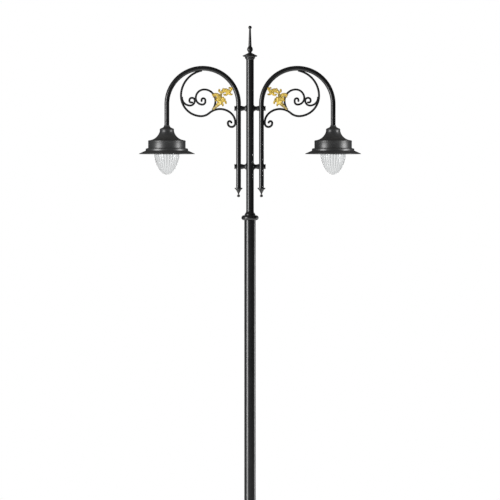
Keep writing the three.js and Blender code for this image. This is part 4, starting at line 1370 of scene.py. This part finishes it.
def studio():
    """A world that is white to the camera and dim as a light, and a softbox for each group of pieces."""
    world = bpy.data.worlds.new("studio")
    world.use_nodes = True
    tree = world.node_tree
    background = tree.nodes["Background"]
    path = tree.nodes.new("ShaderNodeLightPath")
    seen = tree.nodes.new("ShaderNodeMath")
    seen.operation = "MAXIMUM"
    tree.links.new(path.outputs["Is Camera Ray"], seen.inputs[0])
    tree.links.new(path.outputs["Is Transmission Ray"], seen.inputs[1])
    level = tree.nodes.new("ShaderNodeMapRange")
    level.inputs["To Min"].default_value = WORLD_LIGHT
    level.inputs["To Max"].default_value = 1.0
    tree.links.new(seen.outputs[0], level.inputs["Value"])
    tree.links.new(level.outputs["Result"], background.inputs["Strength"])
    background.inputs["Color"].default_value = (1, 1, 1, 1)
    bpy.context.scene.world = world
    bpy.context.scene.view_settings.view_transform = "Standard"

    ironwork = gathered("ironwork", painted(BLACK_TUBE, BLACK_CAST, ZINC, GREY, RUBBER))
    ground = gathered("ground", painted(FLOOR))
    bars = gathered("bars", painted(BLACK_BAR))
    lanterns = gathered(
        "lanterns", painted(BLACK_SHELL, BLACK_NECK, GLASS, ALUMINIUM, ENAMEL, PHOSPHOR, LENS))
    leaves = gathered("leaves", painted(GILT))
    lower = gathered("lower_tube", called("lower_shaft", "shaft_collar"))
    crown = gathered("crown", called("top_cap", "finial"))
    # Each light: what it lights, then its azimuth, height, width, tallness and power.
    softbox("key", ironwork, -56, 3.4, 3.0, 7.0, 820)
    softbox("bar_key", bars, -62, 3.4, 4.6, 7.0, 900)
    softbox("shaft_rim", lower, 116, 1.9, 2.2, 3.6, 210)
    softbox("cap_rim", crown, 116, 5.4, 2.2, 0.7, 50)
    softbox("lantern_left", lanterns, -55, 4.4, 4.2, 8.0, 1200)
    softbox("lantern_right", lanterns, 74, 4.4, 4.2, 8.0, 1150)
    softbox("ground_light", ground, -30, 12.0, 9.0, 9.0, 2600, distance=2.0, target=0)
    softbox("leaf_back", leaves, 215, 5.5, 5.0, 5.0, 260)
    softbox("leaf_light", leaves, -8, 5.5, 6.0, 6.0, 400)


def softbox(name, receivers, azimuth, height, width, tall, power, distance=9.0, target=None):
    """A soft light for some of the pieces. Azimuth 0 is in front of the post, positive to its right."""
    light = bpy.data.lights.new(name, "AREA")
    light.shape = "RECTANGLE"
    light.size = width
    light.size_y = tall
    light.energy = power
    angle = math.radians(azimuth)
    lamp = add_object(name, light)
    lamp.location = (distance * math.sin(angle), -distance * math.cos(angle), height)
    towards = Vector((0, 0, height if target is None else target)) - lamp.location
    lamp.rotation_euler = towards.to_track_quat("-Z", "Y").to_euler()
    lamp.light_linking.receiver_collection = receivers


def floor():
    radius, thick = 7, 0.02
    bm = lathe([(0, 0), (radius, 0), (radius, -thick), (0, -thick)], closed=False, sides=128)
    bmesh.ops.recalc_face_normals(bm, faces=bm.faces)
    mesh = mesh_of("floor", bm)
    mesh.materials.append(FLOOR)
    add_object("floor", mesh)


def camera():
    view = bpy.data.cameras.new("camera")
    view.lens = 720
    view.sensor_width = 36
    view.clip_end = 400
    seat = add_object("camera", view)
    seat.location = (0, -CAMERA_AWAY, CENTRE_Z)
    seat.rotation_euler = (math.pi / 2, 0, 0)
    bpy.context.scene.camera = seat


# ---- Assembly ----

base_cover()
cover_screws()
base_column()
access_door()
door_pin()
door_lock()
fuse_box()
tube("lower_shaft", 4)
tube("upper_shaft", 3.2)
shaft_collar()
top_cap()
finial()
for tie_level in LEVELS:
    tie_rod(tie_level)
dress("base_plate", ZINC)

scroll_lines = {kind: scroll_line(kind) for kind in SCROLLS}
leaf_shape = leaf_mesh()
for side_name, side_sign in SIDES.items():
    arm(side_sign, side_name)
    arm_tip(side_sign, side_name)
    for tie_level in LEVELS:
        spacer(side_sign, side_name, tie_level)
        end_cap(side_sign, side_name, tie_level)
    dress(f"{side_name}_lantern_cable", RUBBER)
    for scroll_kind, line in scroll_lines.items():
        scroll(side_sign, side_name, scroll_kind, line)
    scroll_welds(side_sign, side_name, scroll_lines)
    leaf(side_sign, side_name, leaf_shape)
    lantern(side_sign, side_name)
bpy.data.meshes.remove(leaf_shape)

floor()
studio()
camera()
